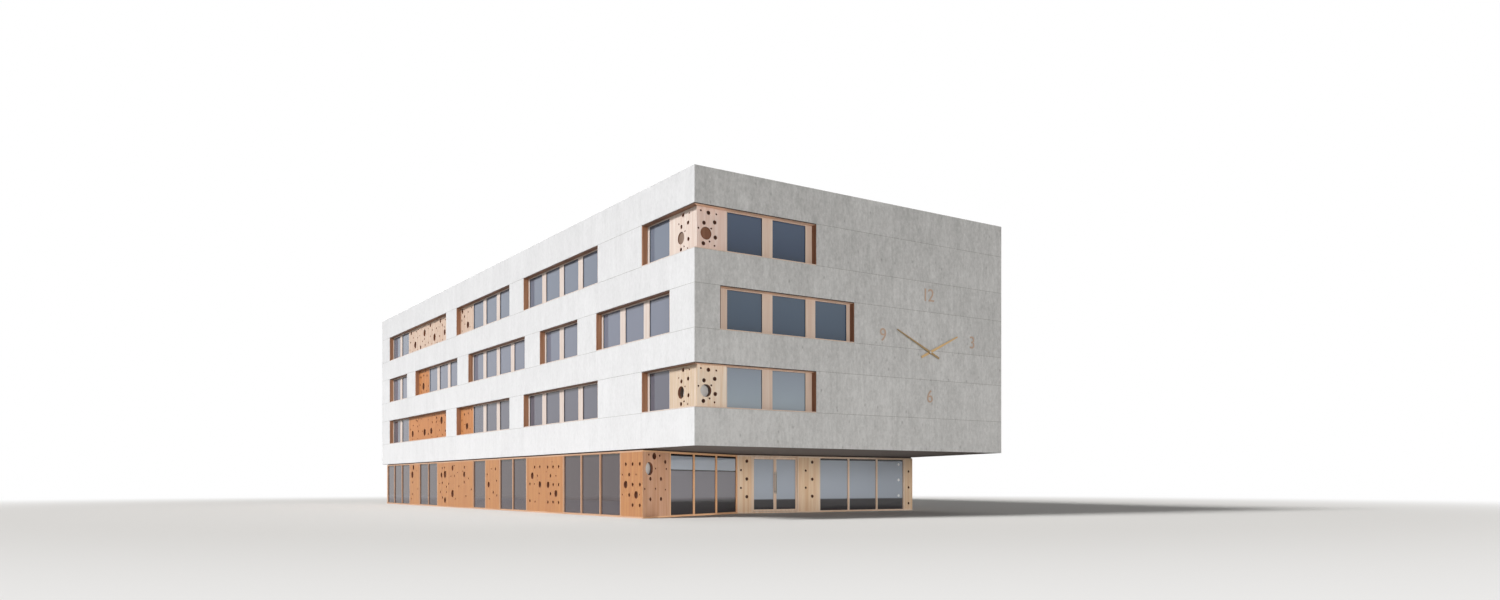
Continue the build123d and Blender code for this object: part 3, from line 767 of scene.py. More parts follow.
def place_piece(name, data, replaced=(), body="building"):
    """Makes a piece of mesh data, and lets it ride on a body."""
    data.name = name
    piece = bpy.data.objects.new(name, data)
    bpy.context.scene.collection.objects.link(piece)
    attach(piece, body)
    if replaced:
        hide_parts(*replaced)


def dress(node, *finishes):
    """Gives a node's own object its finishes."""
    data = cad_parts[node].data
    data.materials.clear()
    for item in finishes:
        data.materials.append(finish(item))


def cut_across(mesh, place, way):
    """Cuts all faces of a mesh in a plane."""
    bmesh.ops.bisect_plane(
        mesh, geom=mesh.verts[:] + mesh.edges[:] + mesh.faces[:], dist=WELD,
        plane_co=place, plane_no=way
    )


def joint_places(name, side):
    """Places along a wall of its upright formwork joints."""
    look = settings("concrete")
    if name == "front":
        first = side.start + look.front_joint
    elif name == "left":
        first = side.start + (side.end - side.start) % look.panel
    else:
        first = side.start + look.panel
    count = int((side.end - first) / look.panel) + 1
    places = [first + n * look.panel for n in range(count)]
    return [place for place in places if side.start + TOUCH < place < side.end - TOUCH]


def groove_walls(mesh, side, places, look):
    """Cuts V grooves along the joints of a wall's outer face, and breaks its square edges."""
    for place in places:
        cut_across(mesh, side.place(place, 0, 0), side.along)
    mesh.normal_update()

    def on_joint(edge):
        outer = all(face.normal.dot(side.out) > ALONG for face in edge.link_faces)
        upright = abs((edge.verts[0].co - edge.verts[1].co).normalized().z) > ALONG
        return outer and upright and len(edge.link_faces) == 2

    joints = [edge for edge in mesh.edges if on_joint(edge)]
    bmesh.ops.bevel(
        mesh, geom=joints, offset=look.groove, segments=2, profile=0.5, affect="EDGES",
        clamp_overlap=True
    )
    for vert in mesh.verts:
        along = vert.co.dot(side.along)
        if side.depth(vert.co) < WELD and any(abs(along - place) < WELD * 10 for place in places):
            vert.co -= side.out * look.groove
    mesh.normal_update()

    def is_square(edge):
        if len(edge.link_faces) != 2:
            return False
        dots = sorted(face.normal.dot(side.out) for face in edge.link_faces)
        outer = all(side.depth(vert.co) < WELD for vert in edge.verts)
        return outer and abs(dots[0]) < SQUARE and dots[1] > ALONG

    edges = [edge for edge in mesh.edges if is_square(edge)]
    bmesh.ops.bevel(
        mesh, geom=edges, offset=look.bevel, segments=1, affect="EDGES", clamp_overlap=True
    )
    mesh.normal_update()


def shade_panels(mesh, side, places, rows):
    """Gives each panel of a wall its own tone, repeatable from its place."""
    layer = mesh.faces.layers.float.new("panel_shade")
    bounds = [side.start, *places, side.end]
    by_column, by_row, by_wall, spread = SCATTER
    for face in mesh.faces:
        centre = face.calc_center_median()
        column = sum(bound < centre.dot(side.along) for bound in bounds)
        row = sum(level < centre.z for level in rows)
        seed = math.sin(column * by_column + row * by_row + side.offset * by_wall) * spread
        face[layer] = seed - math.floor(seed)


class SCHOOL_OT_cast_walls(bpy.types.Operator):
    """Cast walls with formwork joints, the floors, the soffit and the roof"""
    bl_idname = "school.cast_walls"
    bl_label = "Cast walls"

    def execute(self, context):
        look = settings("concrete")
        for name in WALLS:
            side = wall_side(name)
            places = joint_places(name, side)
            nodes = (f"{name}_spandrels", f"{name}_piers")
            mesh = bmesh.new()
            for node in nodes:
                part = welded(node)
                groove_walls(part, side, places, look)
                data = mesh_data(part)
                mesh.from_mesh(data)
                bpy.data.meshes.remove(data)
            mesh.normal_update()
            shade_panels(mesh, side, places, sorted({round(vert.co.z, 3) for vert in mesh.verts}))
            self.sort_faces(mesh, side, look)
            kind = "sunny_wall" if name == "left" else "cast_wall"
            data = mesh_data(mesh, (kind, "joint", "soffit"))
            place_piece(f"{name}_cast_wall", data, nodes)
        dress("first_floor_slab", "soffit")
        for node in ("ground_slab", "second_floor_slab", "third_floor_slab", "roof_slab"):
            dress(node, "floor")
        dress("roof_covering", "gravel")
        return {"FINISHED"}

    def sort_faces(self, mesh, side, look):
        """Marks the bevels of the level joints, and the lowest storey's underside, painted dark as
        shade.
        """
        base = min(vert.co.z for vert in mesh.verts)
        for face in mesh.faces:
            centre = face.calc_center_median()
            lean = face.normal.dot(side.out)
            bevel = abs(face.normal.z) > ASLANT and ASLANT < lean < ALONG
            if bevel and side.depth(centre) < look.bevel:
                face.material_index = 1
            if face.normal.z < -NEARLY and centre.z < base + TOUCH:
                face.material_index = 2


def band_openings(name):
    """Window openings of a wall's flush boards: ends along it, heights, and its band's own ends."""
    look = settings("timber")
    side = wall_side(name)
    mesh = welded(f"{name}_window_frames")
    found = []
    for faces in solids(mesh):
        along, height, _ = extent(side, faces)
        low, high = height[0] + look.lining + TOUCH, height[1] - look.lining - TOUCH
        inner = {
            (round(vert.co.dot(side.along), 4), round(vert.co.z, 4))
            for face in faces for vert in face.verts
            if abs(side.depth(vert.co) - look.recess) < TOUCH / 2 and low < vert.co.z < high
        }
        places = sorted({place for place, level in inner})
        levels = sorted({level for place, level in inner})
        for ends in zip(places[::2], places[1::2]):
            found.append((ends, (levels[0], levels[-1]), along, height))
    mesh.free()
    return found


def split_edges(mesh, side, look):
    """Cuts the outer edge of each band's linings where head, ends and sill meet."""
    for faces in solids(mesh):
        along, height, _ = extent(side, faces)
        edge = [
            face for face in faces
            if side.depth(face.calc_center_median()) < look.recess / 2
            and face.normal.dot(side.out) > ALONG
        ]
        for place, level, way in (
            (0.0, height[1] - look.lining, UP), (0.0, height[0] + look.lining, UP),
            (along[0] + look.lining, 0.0, side.along), (along[1] - look.lining, 0.0, side.along),
        ):
            parts = set(edge)
            for face in edge:
                parts.update(face.verts)
                parts.update(face.edges)
            cut = bmesh.ops.bisect_plane(
                mesh, geom=list(parts), dist=WELD, plane_co=side.place(place, level, 0),
                plane_no=way
            )
            edge = [part for part in cut["geom"] if isinstance(part, bmesh.types.BMFace)]
    mesh.normal_update()


class SCHOOL_OT_window_bands(bpy.types.Operator):
    """Linings, flush boards, sloped sills and gaskets of the window bands, and their glass"""
    bl_idname = "school.window_bands"
    bl_label = "Window bands"

    def execute(self, context):
        look = settings("timber")
        for name in WALLS:
            side = wall_side(name)
            # The long side takes the sunny_ finishes, copies coloured for its sunlight: painted
            # light
            kind = "sunny_" if name == "left" else ""
            self.linings(name, side, kind, look)
            trim, sills, bands = bmesh.new(), bmesh.new(), set()
            for place, level, along, height in band_openings(name):
                ring(
                    trim, side, place, level, look.gasket,
                    (look.recess + 2 * look.gasket, look.pane_depth)
                )
                bands.add((along, height))
            for along, height in sorted(bands):
                slope_sill(sills, side, along, height[0] + look.lining, look)
            for part, mesh, item in (
                ("gaskets", trim, "gasket"), ("sills", sills, f"{kind}board"),
            ):
                place_piece(f"{name}_window_{part}", mesh_data(mesh, (item,)))
            dress(f"{name}_window_glass", "front_glass" if name == "front" else "side_glass")
        return {"FINISHED"}

    def linings(self, name, side, kind, look):
        """Linings and flush boards, each part with its own finish."""
        node = f"{name}_window_frames"
        mesh = welded(node)
        split_edges(mesh, side, look)
        margin = look.lining + TOUCH
        for faces in solids(mesh):
            along, height, _ = extent(side, faces)
            for face in faces:
                centre = face.calc_center_median()
                place = centre.dot(side.along)
                # Head edges take the head finish, a painted shadow; band ends take the reveal
                # finish, painted shade
                if centre.z > height[1] - margin:
                    face.material_index = 3 if face.normal.z < -MIDWAY else 2
                elif min(place - along[0], along[1] - place) < margin < centre.z - height[0]:
                    face.material_index = 1
        items = (f"{kind}board", f"{kind}reveal", "head", f"{kind}underside")
        place_piece(f"{name}_window_linings", mesh_data(mesh, items), (node,))


def slope_sill(mesh, side, along, level, look):
    """A thin sill that falls outwards over the bottom lining of a band."""
    low, high = along[0] + look.lining, along[1] - look.lining
    if abs(along[0] - side.start) < 2 * look.recess:
        low = side.start + look.recess
    if abs(along[1] - side.end) < 2 * look.recess:
        high = side.end - look.recess
    front, back, rise = look.sill_setback, look.recess, look.sill_rise
    outline = ((front, level), (front, level + rise / 2), (back, level + 2 * rise), (back, level))
    prism(mesh, *([mesh.verts.new(side.place(a, h, d)) for d, h in outline] for a in (low, high)))


def perforation_tree():
    """Drills a hole in a board at each given point, as wide as the point's radius."""
    tree = bpy.data.node_groups.new("perforation", "GeometryNodeTree")
    sockets = {}
    for name, kind in (
        ("Board", "NodeSocketGeometry"), ("Places", "NodeSocketObject"), ("Sides", "NodeSocketInt"),
        ("Reach", "NodeSocketFloat"), ("Board finish", "NodeSocketMaterial"),
        ("Hole finish", "NodeSocketMaterial"),
    ):
        sockets[name] = tree.interface.new_socket(name, in_out="INPUT", socket_type=kind).identifier
    tree.interface.new_socket("Board", in_out="OUTPUT", socket_type="NodeSocketGeometry")
    start = add(tree, "NodeGroupInput").outputs
    places = add(tree, "GeometryNodeObjectInfo", {"Object": start["Places"]})
    radius = add(tree, "GeometryNodeInputNamedAttribute", {"Name": "radius"}, data_type="FLOAT")
    out = add(tree, "GeometryNodeInputNamedAttribute", {"Name": "out"}, data_type="FLOAT_VECTOR")
    drill = add(tree, "GeometryNodeMeshCylinder", {
        "Vertices": start["Sides"], "Radius": 1.0, "Depth": start["Reach"],
    })
    drills = add(tree, "GeometryNodeInstanceOnPoints", {
        "Points": places.outputs["Geometry"], "Instance": drill,
        "Rotation": add(tree, "FunctionNodeAlignRotationToVector", {"Vector": out}, axis="Z"),
        "Scale": add(tree, "ShaderNodeCombineXYZ", {"X": radius, "Y": radius, "Z": 1.0}),
    })
    solid = add(tree, "GeometryNodeRealizeInstances", {"Geometry": drills})
    edge = add(tree, "GeometryNodeSetMaterial", {
        "Geometry": solid, "Material": start["Hole finish"],
    })
    cut = add(tree, "GeometryNodeMeshBoolean", {
        0: start["Board"], 1: edge,
    }, operation="DIFFERENCE", solver="EXACT")
    whole = add(tree, "GeometryNodeRealizeInstances", {"Geometry": cut})
    chosen = add(tree, "GeometryNodeMaterialSelection", {"Material": start["Board finish"]})
    faces = add(tree, "GeometryNodeSetMaterial", {
        "Geometry": whole, "Selection": chosen, "Material": start["Board finish"],
    })
    add(tree, "NodeGroupOutput", {0: faces})
    return tree, sockets


def perforate(mesh, holes, finishes):
    """A mesh with holes drilled through it, given as (middle, outward direction, radius)."""
    middles, ways, radii = zip(*holes)
    places = bpy.data.meshes.new("hole_places")
    places.from_pydata(middles, [], [])
    for name, kind, field, values in (
        ("radius", "FLOAT", "value", radii),
        ("out", "FLOAT_VECTOR", "vector", [part for way in ways for part in way]),
    ):
        places.attributes.new(name, kind, "POINT").data.foreach_set(field, values)
    marks = bpy.data.objects.new("hole_places", places)
    board = bpy.data.objects.new("board", mesh_data(mesh, finishes))
    for item in (marks, board):
        bpy.context.scene.collection.objects.link(item)
    tree, sockets = perforation_tree()
    drilling = board.modifiers.new("perforation", "NODES")
    drilling.node_group = tree
    for name, value in (
        ("Places", marks), ("Sides", settings("timber").hole_sides), ("Reach", DRILL_LENGTH),
        ("Board finish", finish(finishes[0])), ("Hole finish", finish(finishes[1])),
    ):
        drilling[sockets[name]] = value
    graph = bpy.context.evaluated_depsgraph_get()
    result = bpy.data.meshes.new_from_object(board.evaluated_get(graph))
    for item in (marks, board):
        bpy.data.objects.remove(item)
    return result


# Small holes of the upper boards for each storey: distance from the clock corner, height over the
# sill, share of the small radius
FRONT_CORNER_HOLES = (
    (0.245, 0.84, 1), (0.63, 0.81, 1), (0.182, 0.46, 1), (0.503, 0.486, 1), (0.46, 0.205, 1),
    (0.586, 0.128, 1),
)
LEFT_CORNER_HOLES = (
    (0.46, 0.836, 1), (0.64, 0.485, 1), (0.68, 0.165, 1), (0.525, 0.095, 1), (0.905, 0.69, 1),
)
FAR_HOLES = (
    (14.45, 0.82, 1.5), (14.6, 0.2, 1.2), (14.781, 0.72, 1.4), (15.12, 0.36, 1.2),
    (15.42, 0.52, 1.6), (15.4, 0.16, 1.3), (16.8, 0.86, 1.2), (16.86, 0.55, 1.7),
    (16.92, 0.14, 1.4), (17.213, 0.8, 1.5), (17.277, 0.544, 1.5), (17.537, 0.638, 1.8),
    (17.52, 0.12, 1.2), (17.92, 0.62, 1), (17.86, 0.3, 1.6), (18.134, 0.089, 1.5), (18.06, 0.5, 1),
    (18.235, 0.615, 1.8), (18.404, 0.86, 1.4), (18.713, 0.624, 1.6), (18.78, 0.12, 1.2),
    (18.95, 0.42, 1.4), (19.22, 0.74, 1.2), (19.2, 0.22, 1.7), (19.592, 0.172, 1.7),
    (19.7, 0.408, 1.7), (19.917, 0.348, 1.5), (20.03, 0.82, 1.2), (20.32, 0.6, 1),
    (20.42, 0.84, 1.4), (20.55, 0.56, 1.6), (20.732, 0.812, 1.8), (20.56, 0.1, 1.2),
    (21.12, 0.62, 1.5), (21.2, 0.1, 1.3), (21.47, 0.48, 1.7), (21.56, 0.2, 1.2),
)
MIDDLE_HOLES = (
    (19.2, 0.3, 1.5), (19.42, 0.14, 1.3), (19.55, 0.86, 1.2), (19.78, 0.74, 1.8),
    (20.02, 0.13, 1.4), (20.2, 0.42, 1.7), (20.26, 0.84, 1.2),
)
UPPER_HOLES = {
    "front": (FRONT_CORNER_HOLES, (), FRONT_CORNER_HOLES),
    "left": (LEFT_CORNER_HOLES + FAR_HOLES, MIDDLE_HOLES, LEFT_CORNER_HOLES + FAR_HOLES),
}

# Small holes of the ground floor boards: distance along the wall from its end near the clock
# corner, height, share of the small radius
GROUND_HOLES = {
    "ground_left_perforated_boards": (
        (0.321, 1.014, 1), (1.015, 1.014, 1), (1.015, 0.541, 1), (0.15, 0.55, 0.8),
        (4.943, 1.013, 1.2), (5.6, 1.13, 0.8), (6.226, 1.027, 1.5), (6.452, 0.796, 1.2),
        (5.2, 1.4, 0.8), (6.1, 0.53, 1.2), (6.4, 0.3, 1.4), (6.24, 0.905, 0.7), (9.46, 0.9, 1.4),
        (9.9, 1.26, 1.2), (10.28, 1.1, 1.5), (10.1, 0.34, 1.3), (9.44, 0.45, 1.5),
        (11.78, 0.62, 1.6), (12.05, 0.98, 1.5), (12.3, 0.4, 1.7), (12.62, 1.22, 1.4),
        (13.02, 0.72, 1.6), (13.16, 1.18, 1.2), (13.484, 1.07, 1.6), (13.859, 1.064, 1.6),
        (13.521, 1.42, 1.5), (13.4, 0.3, 1.4), (14.1, 0.8, 1.7), (14.356, 0.523, 1.6),
        (14.551, 1.361, 1.8), (14.826, 1.353, 1.9), (15.025, 0.518, 1.9), (15.1, 0.82, 1.2),
        (17.75, 0.62, 1.6), (17.9, 1.3, 1.3), (18.6, 0.24, 1.5),
    ),
    "ground_diagonal_perforated_board": (
        (0.257, 1.47, 1.1), (0.715, 1.455, 1.4), (1.002, 1.149, 1.1), (0.535, 1.153, 1),
        (0.087, 0.678, 1.1), (0.535, 0.682, 1.1), (0.96, 0.66, 1),
    ),
    "entrance_perforated_board": (
        (0.11, 1.168, 1.4), (0.11, 0.69, 1.4),
    ),
    "ground_recess_perforated_boards": (
        (2.291, 1.17, 1.5), (2.291, 0.69, 1.5), (6.18, 1.17, 1.6), (6.18, 0.692, 1.6),
        (6.18, 0.215, 1.6),
    ),
}


def round_holes(side, faces):
    """Middle and radius of each round hole that a board has."""
    cut = [face for face in faces if abs(face.normal.dot(side.out)) < MIDWAY]
    own_edges = 6
    found = []
    for group in islands(cut):
        if len(group) > own_edges:
            along, height, _ = extent(side, group)
            found.append(((sum(along) / 2, sum(height) / 2), (height[1] - height[0]) / 2))
    return found


def plan_holes(side, spans, rounds, listed, base, from_end):
    """A board's round holes, a hair wider, and the listed small ones that lie clear within it."""
    look = settings("timber")
    along, _, depth = spans
    middle = sum(depth) / 2
    holes = [(centre, radius + look.hole_rounding) for centre, radius in rounds]
    taken = list(rounds)
    for distance, up, size in listed:
        place = side.end - distance if from_end else side.start + distance
        radius = look.small_hole * size
        centre = (place, base + up)
        inside = along[0] + radius < place < along[1] - radius
        gap = radius + TOUCH * 4
        if inside and all(math.dist(centre, other) > gap + reach for other, reach in taken):
            taken.append((centre, radius))
            holes.append((centre, radius))
    return [(side.place(*centre, middle), side.out, radius) for centre, radius in holes]


def back_board(mesh, side, along, height, reach, window=None):
    """A dark board behind a perforated one, painted shade seen through its holes, left open behind
    a porthole.
    """
    if not window:
        block(mesh, side, along, height, reach)
        return
    centre, size = window
    inset = size + PORTHOLE_MARGIN
    left, right = centre[0] - inset, centre[0] + inset
    foot, top = centre[1] - inset, centre[1] + inset
    for a, h in (
        ((along[0], left), height), ((right, along[1]), height),
        ((left, right), (height[0], foot)), ((left, right), (top, height[1])),
    ):
        if a[1] > a[0] and h[1] > h[0]:
            block(mesh, side, a, h, reach)


def porthole(mesh, side, window, front, depth):
    """A pane painted pale for the sky it mirrors, in a sleeve painted dark for the shade in the
    hole, behind a large hole, in finishes 1 and 2 of its piece.
    """
    centre, radius = window
    sleeve(mesh, side, *centre, radius, SLEEVE_WALL, (front + HAIR * 2, depth + SLEEVE_END), 2)
    disc(mesh, side, *centre, radius, (depth, depth + PANE_DEPTH), 1)


def mark_edges(mesh, side):
    """Marks the cut edges and holes of boards, apart from their two faces."""
    for face in mesh.faces:
        if abs(face.normal.dot(side.out)) < NEARLY:
            face.material_index = 1


def largest(rounds):
    """The widest of some round holes."""
    return max(rounds, key=lambda hole: hole[1])


class SCHOOL_OT_perforated_boards(bpy.types.Operator):
    """Perforated spruce boards, their small holes, backing boards and portholes"""
    bl_idname = "school.perforated_boards"
    bl_label = "Perforated boards"

    def execute(self, context):
        self.upper_boards("front", ("corner", "hole", "corner_low", "aged"), "plug")
        # The long side's boards take the copies coloured for its sunlight: painted light
        self.upper_boards("left", ("sunny", "hole", "sunny_low", "aged", "far"), "sunny_plug")
        for name, node, item in (
            ("ground_left", "ground_left_perforated_boards", "sunny_ground"),
            ("ground_diagonal", "ground_diagonal_perforated_board", "diagonal"),
            ("ground_recess", "ground_recess_perforated_boards", "ground"),
            ("ground_recess", "entrance_perforated_board", "ground"),
        ):
            self.ground_boards(name, node, (item, "hole"))
        for node in ("ground_right_boards", "ground_back_boards"):
            dress(node, "ground")
        return {"FINISHED"}

    def upper_boards(self, name, finishes, plug):
        """Drills the boards of one side, and closes their large holes."""
        look = settings("timber")
        side = wall_side(name)
        node = f"{name}_perforated_boards"
        mesh = welded(node)
        mark_edges(mesh, side)
        floors = [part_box(f"{level}_floor_slab")[0].z for level in ("second", "third")]
        gap, thickness = UPPER_BACKING
        holes, backing = [], bmesh.new()
        for faces in solids(mesh):
            spans = extent(side, faces)
            (low, high), height, depth = spans
            storey = sum(height[0] > level for level in floors)
            rounds = round_holes(side, faces)
            listed, base = UPPER_HOLES[name][storey], height[0] - look.lining
            holes += plan_holes(side, spans, rounds, listed, base, name == "left")
            reach = (depth[1] + gap, depth[1] + gap + thickness)
            inset = 2 * (reach[1] - depth[0])
            at_start = low - side.start < 2 * look.recess
            at_end = side.end - high < 2 * look.recess
            along = (low + inset * at_start, high - inset * at_end)
            corner, top = at_start or at_end, storey == 2
            kind = (0 if top else 2) if corner else (4 if top else 3)
            for face in faces:
                if not face.material_index:
                    face.material_index = kind
            window = largest(rounds) if corner and not storey else None
            back_board(backing, side, along, height, reach, window)
            if window:
                porthole(backing, side, window, depth[1], depth[0] + look.porthole_depth)
            elif corner:
                # A brown plug in the top storey's large hole paints the shade inside it
                centre, radius = largest(rounds)
                closed = (depth[0] + PLUG_SETBACK, depth[1])
                disc(backing, side, *centre, radius - HAIR, closed, 3)
        self.place_boards(f"{name}_spruce_boards", perforate(mesh, holes, finishes), node)
        behind = mesh_data(backing, ("backing", "milky", "packer", plug))
        self.place_boards(f"{name}_board_backing", behind)

    def ground_boards(self, name, node, finishes):
        """Drills the boards of one ground floor wall."""
        look = settings("timber")
        side = wall_side(name)
        mesh = welded(node)
        mark_edges(mesh, side)
        gap, thickness = GROUND_BACKING
        shift = frame_start(name)
        listed = [(distance + shift, up, size) for distance, up, size in GROUND_HOLES[node]]
        holes, backing = [], bmesh.new()
        for faces in solids(mesh):
            spans = extent(side, faces)
            (low, high), height, depth = spans
            rounds = round_holes(side, faces)
            holes += plan_holes(side, spans, rounds, listed, 0.0, name == "ground_left")
            reach = (depth[1] + gap, depth[1] + gap + thickness)
            inset = 2 * depth[1]
            if abs(low - side.start) < inset:
                low = max(low, side.start + inset)
            if side.end - high < inset:
                high = min(high, side.end - inset)
            window = largest(rounds) if name == "ground_diagonal" else None
            if high > low:
                back_board(backing, side, (low, high), height, reach, window)
            if window:
                porthole(backing, side, window, depth[1], depth[0] + look.diagonal_porthole_depth)
        label = node.replace("perforated", "spruce")
        self.place_boards(label, perforate(mesh, holes, finishes), node)
        behind = mesh_data(backing, ("backing", "milky", "packer"))
        self.place_boards(f"{label}_backing", behind)

    def place_boards(self, name, data, *replaced):
        """Places drilled boards, or what lies behind them."""
        place_piece(name, data, replaced)


def frame_start(name):
    """Distance from a wall side's recorded end to the true start of its ground floor wall."""
    if name != "ground_recess":
        return 0.0
    return side_of("entrance_frame").start - wall_side(name).start


class SCHOOL_OT_ground_glazing(bpy.types.Operator):
    """Posts, rails, glazing beads, gaskets and panes of the ground floor"""
    bl_idname = "school.ground_glazing"
    bl_label = "Ground floor glazing"

    def execute(self, context):
        look = settings("timber")
        for name in GROUND_WALLS:
            side = wall_side(name)
            kind = TIMBER_KINDS.get(name, "")
            beads = bmesh.new()
            for along, height, (face, _) in node_extents(f"{name}_glass", side):
                ring(beads, side, along, height, look.bead, (face - look.bead, face))
                ring(
                    beads, side, along, height, look.bead + 1.5 * look.gasket,
                    (face - look.gasket, face - HAIR), 1
                )
            data = mesh_data(beads, (f"{kind}post", "gasket"))
            place_piece(f"{name}_glazing_beads", data)
            dress(f"{name}_glass", f"{kind}ground_glass")
            self.posts_and_rails(name, kind)
        dress("entrance_frame", "post")
        # The dark packers paint the shadow gap under the soffit
        dress("head_packers", "packer")
        self.markings()
        return {"FINISHED"}

    def posts_and_rails(self, name, kind):
        """Lets the grain run along the rails and up the posts."""
        node = f"{name}_frame"
        mesh = welded(node)
        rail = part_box("ground_slab")[1].z
        top = max(vert.co.z for vert in mesh.verts) - rail
        for level in (rail, top):
            cut_across(mesh, (0, 0, level), UP)
        for face in mesh.faces:
            middle = face.calc_center_median().z
            if middle < rail + TOUCH or middle > top - TOUCH:
                face.material_index = 1
        data = mesh_data(mesh, (f"{kind}post", f"{kind}rail"))
        place_piece(f"{name}_posts_and_rails", data, (node,))

    def markings(self):
        """Three round marks on the last pane of the recessed front."""
        radius = settings("glass").marking_radius
        side = wall_side("ground_recess")
        last = max(node_extents("ground_recess_glass", side), key=lambda spans: spans[0][1])
        (start, end), _, (face, _) = last
        place = start + MARK_SHARE * (end - start)
        marks = bmesh.new()
        for level in MARK_LEVELS:
            disc(marks, side, place, level, radius, (face - TOUCH, face - HAIR))
        place_piece("glass_markings", mesh_data(marks, ("marking",)))


class SCHOOL_OT_entrance(bpy.types.Operator):
    """Door leaves with gaskets, panes, pivots and pulls"""
    bl_idname = "school.entrance"
    bl_label = "Entrance doors"

    def execute(self, context):
        gasket = settings("timber").gasket
        for hand in ("left", "right"):
            side = side_of(f"{hand}_door_leaf")
            seals = bmesh.new()
            for along, height, (face, _) in node_extents(f"{hand}_door_glass", side):
                ring(seals, side, along, height, gasket, (face - 1.5 * gasket, face))
            place_piece(
                f"{hand}_door_gaskets", mesh_data(seals, ("gasket",)),
                body=f"{hand}_leaf"
            )
            for part, item in (
                ("leaf", "post"), ("glass", "ground_glass"), ("pivots", "steel"), ("pull", "steel"),
            ):
                dress(f"{hand}_door_{part}", item)
        return {"FINISHED"}


class SCHOOL_OT_clock(bpy.types.Operator):
    """Clock hands, spindle and plain numerals on the cast front"""
    bl_idname = "school.clock"
    bl_label = "Clock"

    def execute(self, context):
        look = settings("clock")
        side = wall_side("front")
        low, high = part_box("clock_spindle")
        centre = (low + high) / 2
        for text, (across, up) in NUMERALS.items():
            self.numeral(text, centre + Vector((across, 0, up)), side, look)
        for hand in ("hour", "minute"):
            self.hand(hand, centre, side, look)
        dress("clock_spindle", "steel")
        return {"FINISHED"}

    def hand(self, name, centre, side, look):
        """A hand that narrows from its hub to both tips."""
        node = f"{name}_hand"
        mesh = welded(node)
        flat = {}
        for vert in mesh.verts:
            place = vert.co - centre
            flat[vert] = place - side.out * place.dot(side.out)
        reach = max(place.length for place in flat.values())
        tips = [place for place in flat.values() if place.length > reach - TOUCH]
        way = sum(tips, Vector()).normalized()
        across = way.cross(side.out)
        for vert, place in flat.items():
            run = max(abs(place.dot(way)) - look.hub, 0.0) / (reach - look.hub)
            vert.co -= across * place.dot(across) * look.taper * run
        mesh.normal_update()
        place_piece(
            f"tapered_{node}", mesh_data(mesh, (name,)), (node,),
            f"clock_{name}"
        )

    def numeral(self, text, middle, side, look):
        """A flat raised numeral on the wall."""
        curve = bpy.data.curves.new(f"numeral_{text}", "FONT")
        curve.body = text
        curve.extrude = look.numeral_depth / 2
        curve.space_character = DIGIT_SPACING
        curve.bevel_depth = DIGIT_BEVEL
        curve.bevel_resolution = 1
        source = bpy.data.objects.new("numeral", curve)
        bpy.context.scene.collection.objects.link(source)
        graph = bpy.context.evaluated_depsgraph_get()
        data = bpy.data.meshes.new_from_object(source.evaluated_get(graph))
        bpy.data.objects.remove(source)
        lows = [min(vert.co[n] for vert in data.vertices) for n in range(3)]
        highs = [max(vert.co[n] for vert in data.vertices) for n in range(3)]
        size = look.numeral_height / (highs[1] - lows[1])
        flat = Matrix.Translation([-(a + b) / 2 for a, b in zip(lows, highs)])
        sized = Matrix.Diagonal((size, size, 1.0, 1.0))
        upright = Matrix.Rotation(math.radians(90), 4, "X")
        surface = side.place(0, 0, 0).y - HAIR - (highs[2] - lows[2]) / 2
        placed = Matrix.Translation((middle.x, surface, middle.z))
        data.transform(placed @ upright @ sized @ flat)
        mesh = bmesh.new()
        mesh.from_mesh(data)
        bpy.data.meshes.remove(data)
        bmesh.ops.remove_doubles(mesh, verts=mesh.verts, dist=WELD)
        bmesh.ops.recalc_face_normals(mesh, faces=mesh.faces)
        place_piece(f"numeral_{text}", mesh_data(mesh, ("numerals",)))


def seen(tree):
    """1 for rays from the camera, also mirrored or let through, and 0 for those that light."""
    rays = add(tree, "ShaderNodeLightPath").outputs
    amount = rays["Is Camera Ray"]
    for kind in ("Glossy", "Transmission"):
        ray = rays[f"Is {kind} Ray"]
        amount = add(tree, "ShaderNodeMath", {0: amount, 1: ray}, operation="MAXIMUM")
    return amount


def stand(name, data, axis, way):
    """A light or camera, turned so that one of its axes follows a direction."""
    item = bpy.data.objects.new(name, data)
    item.rotation_mode = "QUATERNION"
    item.rotation_quaternion = Vector(way).to_track_quat(axis, "Y")
    bpy.context.scene.collection.objects.link(item)
    return item


